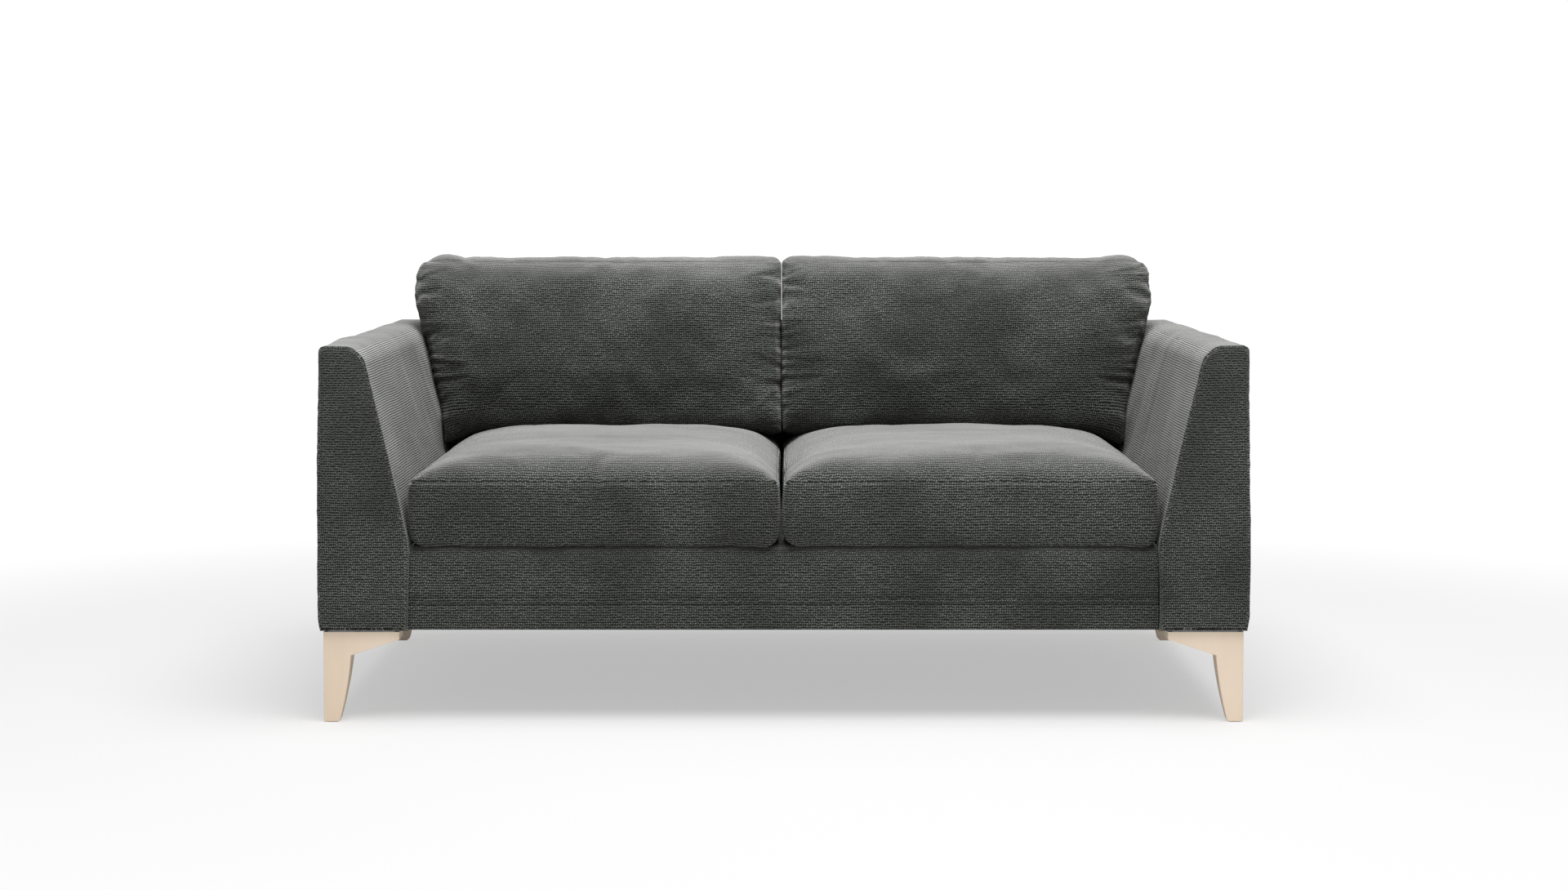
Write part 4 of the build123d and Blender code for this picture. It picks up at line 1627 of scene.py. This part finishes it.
@dataclass
class BackPanel(Upholstery):
    """A panel between the arms that widens upwards along their inner faces."""

    half: float = 0.661
    bend: float = 0.318
    arm_slope: float = math.radians(13.0)

    def widened(self, across: Points, z: Points) -> Points:
        """How far each point is from the middle, by its place across the panel and its height."""
        side = self.half + np.clip(z - self.bend, 0, None) * math.tan(self.arm_slope)
        return (across / self.half - 1) * side


@dataclass
class InsideBack(BackPanel):
    """The padded back between the arms, behind the loose cushions."""

    front: float = 0.355
    rear: float = 0.434
    low: float = 0.277
    high: float = 0.664
    deck: float = 0.307
    slope: float = math.radians(2.4)
    front_edge: float = 0.025
    padding: Layers = ((0.0010, 0.2), (0.0004, 0.07))

    def grid(self) -> Lattice:
        """The inside back's surface grid.

        Returns:
            The grid.
        """
        return Lattice(
            spaced(2 * self.half, 0.012),
            spaced(self.rear - self.front, 0.008),
            spaced(self.high - self.low, 0.010),
        )

    def shape(self, grid: Lattice) -> Points:
        """Lean the face, spread the sides along the arms and round the top.

        Args:
            grid: the form's surface grid.

        Returns:
            Where its points go.
        """
        a, b, c = grid.rounded((Panel.TOP, Panel.FRONT, self.front_edge))
        z = self.low + c
        face = self.front + np.clip(z - self.deck, 0, None) * math.tan(self.slope)
        y = face + b / grid.size[1] * (self.rear - face)
        return np.stack([self.widened(a, z), y, z], axis=1)

    def creases(self, grid: Lattice, places: Points) -> Points:
        """Ripple the padded face."""
        return np.where(grid.on(Panel.UNDER) | grid.on(Panel.REAR), 0.0, ripples(places, 720, self.padding))


@dataclass
class OutsideBack(BackPanel):
    """The flat sewn panel behind the sofa."""

    front: float = 0.427
    rear: float = 0.440
    low: float = 0.161
    high: float = 0.664
    edge: float = 0.009
    low_edge: float = 0.004
    top_seam: float = 0.475
    side_seam: Seam = Seam(0.0016, 0.003)
    level_seam: Seam = Seam(0.0014, 0.0022)
    padding: Layers = ((0.0007, 0.22), (0.0003, 0.06))

    def grid(self) -> Lattice:
        """The outside back's surface grid.

        Returns:
            The grid.
        """
        return Lattice(
            spaced(2 * self.half, 0.012),
            np.array([0.0, 0.0015, 0.004, 0.007, 0.010, 0.013]),
            spaced(self.high - self.low, 0.010, (self.top_seam,)),
        )

    def shape(self, grid: Lattice) -> Points:
        """Follow the arms' slope and round the top and bottom edges.

        Args:
            grid: the form's surface grid.

        Returns:
            Where its points go.
        """
        edges = ((Panel.TOP, Panel.REAR, self.edge), (Panel.UNDER, Panel.REAR, self.low_edge))
        a, b, c = grid.rounded(*edges)
        z = self.low + c
        return np.stack([self.widened(a, z), self.rear - grid.size[1] + b, z], axis=1)

    def creases(self, grid: Lattice, places: Points) -> Points:
        """Hollow the seams beside the arms and under the top.

        Args:
            grid: the form's surface grid.
            places: where the points are.

        Returns:
            How far each point moves outwards.
        """
        sides = np.minimum(grid.from_edge(Panel.INNER), grid.from_edge(Panel.OUTER))
        move = self.side_seam.hollow(sides) + self.level_seam.hollow(grid.rest[:, 2] - self.top_seam)
        return np.where(grid.on(Panel.REAR), move + ripples(places, 740, self.padding), 0.0)


@dataclass
class Stitches:
    """Two rows of thread along the lower seam of the base front."""

    thread: bpy.types.Material
    half: float = 0.655
    depth: float = -0.4236
    heights: tuple[float, ...] = (0.206, 0.218)
    pitch: float = 0.0062
    length: float = 0.0044
    radius: float = 0.00045
    bow: float = 0.0005

    def sew(self) -> bpy.types.Object:
        """Make every stitch as a small tapered roll of thread.

        Returns:
            The piece.
        """
        points, quads = [], []
        stations = ((-0.5, 0.35), (-0.36, 0.9), (0.0, 1.0), (0.36, 0.9), (0.5, 0.35))
        sides = 6
        turns = [2 * math.pi * corner / sides for corner in range(sides)]
        for height in self.heights:
            for middle in np.arange(-self.half, self.half, self.pitch):
                for ring, (share, fullness) in enumerate(stations):
                    low, reach = len(points), self.radius * fullness
                    for corner, angle in enumerate(turns):
                        depth = self.depth + reach * math.cos(angle) + self.bow * abs(share)
                        place = (middle + share * self.length, depth, height + reach * math.sin(angle))
                        points.append(place)
                        if ring:
                            after = low + (corner + 1) % sides
                            quads.append((low - sides + corner, after - sides, after, low + corner))
        made = make_mesh("base_seam_stitches", np.array(points), np.array(quads), True)
        made.data.materials.append(self.thread)
        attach(made, "frame")
        LOG.info("%s: %d stitches", made.name, len(points) // (sides * len(stations)))
        return made


@dataclass
class DustSheet:
    """The thin lining stapled under the base."""

    lining: bpy.types.Material
    half: float = 0.658
    front: float = -0.395
    rear: float = 0.425
    height: float = 0.1628
    thickness: float = 0.0010
    sag: float = 0.0025

    def hang(self) -> bpy.types.Object:
        """Make the sheet, sagging a little between its staples.

        Returns:
            The piece.
        """
        length = self.rear - self.front
        grid = Lattice(
            np.linspace(0, 2 * self.half, 90), np.linspace(0, length, 58), np.array([0.0, self.thickness])
        )
        places = grid.rest + (-self.half, self.front, self.height)
        across, along, _ = grid.rest.T
        inner = np.sin(math.pi * across / (2 * self.half)) * np.sin(math.pi * along / length)
        flutter = 0.0004 * ripple(places * (1, 1, 0), 0.12, 760)
        places[:, 2] -= (self.sag + flutter) * np.clip(inner * 3, 0, 1)
        made = make_mesh("dust_sheet", places, grid.quads)
        made.data.materials.append(self.lining)
        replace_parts(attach(made, "frame"), "dust_cover")
        LOG.info("%s: %d faces", made.name, len(grid.quads))
        return made


@dataclass
class Studio:
    """Camera, light and white ground of the photograph."""

    distance: float = 4.64
    eye: float = 0.9236
    lens: float = 54.9
    slide: float = 0.0003
    drop: float = -0.158
    sky: float = 0.34
    white: float = 1.05
    key: float = 232.0

    def camera(self) -> None:
        """Set up a level camera whose lens is shifted down onto the sofa."""
        data = bpy.data.cameras.new("camera")
        data.lens, data.sensor_width = self.lens, 36.0
        data.shift_x, data.shift_y = self.slide, self.drop
        made = bpy.data.objects.new("camera", data)
        made.location = (0.0, -self.distance, self.eye)
        made.rotation_euler = (math.radians(90.0), 0.0, 0.0)
        bpy.context.scene.collection.objects.link(made)
        bpy.context.scene.camera = made

    def lamp(self, name: str, place: Colour, aim: Colour, size: float, power: float) -> None:
        """Hang a soft square lamp.

        Args:
            name: its name.
            place: where it hangs.
            aim: the point that it faces.
            size: its side.
            power: its watts.
        """
        data = bpy.data.lights.new(name, "AREA")
        data.size, data.energy = size, power
        made = bpy.data.objects.new(name, data)
        made.location = place
        made.rotation_euler = (Vector(aim) - Vector(place)).to_track_quat("-Z", "Y").to_euler()
        bpy.context.scene.collection.objects.link(made)

    def world(self) -> None:
        """A white sky: plain light for the sofa, pure white for the camera."""
        shader = Shader("white sky", world=True)
        camera, through, glossy = (
            shader.node("ShaderNodeLightPath", output=ray)
            for ray in ("Is Camera Ray", "Is Transmission Ray", "Is Glossy Ray")
        )
        seen = camera.combine("MAXIMUM", camera.combine("MAXIMUM", camera, through), glossy)
        light, white = (
            shader.node("ShaderNodeBackground", {}, {"Color": (1.0,) * 3, "Strength": strength})
            for strength in (self.sky, self.white)
        )
        mix = shader.node("ShaderNodeMixShader", {}, {0: seen, 1: light, 2: white})
        bpy.context.scene.world = shader.close(mix, "World")

    def ground(self) -> None:
        """Lay the white floor."""
        corners = 30.0 * np.array([(-1, -1, 0), (1, -1, 0), (1, 1, 0), (-1, 1, 0)])
        floor = make_mesh("studio_floor", corners, np.array([(0, 1, 2, 3)]))
        floor.data.materials.append(Backdrop().material())

    def build(self) -> None:
        """Set up the whole studio."""
        self.camera()
        self.world()
        self.ground()
        self.lamp("key", (0.3, -1.1, 4.4), (0.0, 0.0, 0.4), 3.4, self.key)
        bpy.context.scene.view_settings.view_transform = "Standard"
        LOG.info("studio: camera, sky, floor and one lamp")


FINISHES = {
    "plywood": Timber(
        "birch plywood", (0.52, 0.37, 0.22), (0.40, 0.26, 0.14), grain=Grain.ALONG, layers=720.0
    ),
    "pine": Timber("planed pine", (0.62, 0.43, 0.23), (0.47, 0.28, 0.12), grain=Grain.ACROSS),
    "beech": Timber(
        "pale beech", (0.92, 0.77, 0.61), (0.82, 0.65, 0.49), roughness=0.42, coat=0.12, rings=16.0
    ),
    "fibreboard": Crumb("brown fibreboard", (0.26, 0.17, 0.10), (0.16, 0.10, 0.055), 0.0012, 0.0002),
    "foam": Crumb("cream foam", (0.72, 0.68, 0.55), (0.55, 0.50, 0.38), 0.0011, 0.0004, 0.95),
    "glide_plastic": Crumb(
        "black glide plastic", (0.030, 0.030, 0.032), (0.018, 0.018, 0.02), 0.0006, 0.0001, 0.5
    ),
    "webbing": Weave("elastic webbing", (0.075, 0.075, 0.08), (0.03, 0.03, 0.034), 0.0018, 0.0005, 0.035),
    "lining": Weave("black lining", (0.030, 0.030, 0.032), (0.012, 0.012, 0.014), 0.0009, 0.0002),
    "zip_tape": Weave("grey zip tape", (0.055, 0.058, 0.055), (0.025, 0.027, 0.025), 0.0008, 0.0002),
    "zip_metal": Metal("zip metal", (0.35, 0.35, 0.34), 0.34, 0.0024),
    "steel": Metal("zinc-plated steel", (0.62, 0.63, 0.64), 0.32),
}


def dress_frame(materials: dict[str, bpy.types.Material]) -> None:
    """Give every CAD node its finish by the name of its slot.

    Args:
        materials: the finish of each slot.
    """
    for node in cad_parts.values():
        for place in node.material_slots:
            key = place.material.name.split(".")[0] if place.material else ""
            if key in materials:
                place.material = materials[key]
    LOG.info("frame: %d nodes dressed", len(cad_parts))


def build_cushions(cloth: bpy.types.Material) -> None:
    """Make the four loose cushions.

    Args:
        cloth: the cover's finish.
    """
    for side in Side:
        for kind, word, fill in ((SeatCushion, "seat", 0.85), (BackCushion, "back", 0.7)):
            nodes = (f"{word}_cushion_cover_{side.tag}", f"{word}_cushion_core_{side.tag}")
            cushion = kind(cloth=cloth, side=side)
            cushion.sew(f"{word}_pillow_{side.tag}", f"{word}_cushion_{side.tag}", nodes, fill)


def build_carcass(cloth: bpy.types.Material) -> None:
    """Make everything that is upholstered onto the frame.

    Args:
        cloth: the cover's finish.
    """
    for side in Side:
        nodes = (f"arm_cover_{side.tag}", f"arm_padding_{side.tag}")
        ArmUpholstery(cloth=cloth, side=side).sew(f"padded_arm_{side.tag}", "frame", nodes, 0.9)
    BaseFront(cloth=cloth).sew("padded_base_front", "frame", ("base_front_cover", "base_padding"), 0.9)
    Deck(cloth=cloth).sew("padded_deck", "frame", ("deck_cover", "deck_padding"), 0.85)
    InsideBack(cloth=cloth).sew("padded_inside_back", "frame", ("back_inner_cover", "back_padding"), 0.85)
    OutsideBack(cloth=cloth).sew("outside_back_panel", "frame", ("back_outer_cover",), 0.9)


def main() -> None:
    """Build the studio, the finishes and every piece of the sofa."""
    Studio().build()
    materials = {key: finish.material() for key, finish in FINISHES.items()}
    materials["fabric"] = RibbedCloth().material()
    dress_frame(materials)
    build_cushions(materials["fabric"])
    build_carcass(materials["fabric"])
    Stitches(thread=materials["zip_tape"]).sew()
    DustSheet(lining=materials["lining"]).hang()


if __name__ == "__main__":
    main()
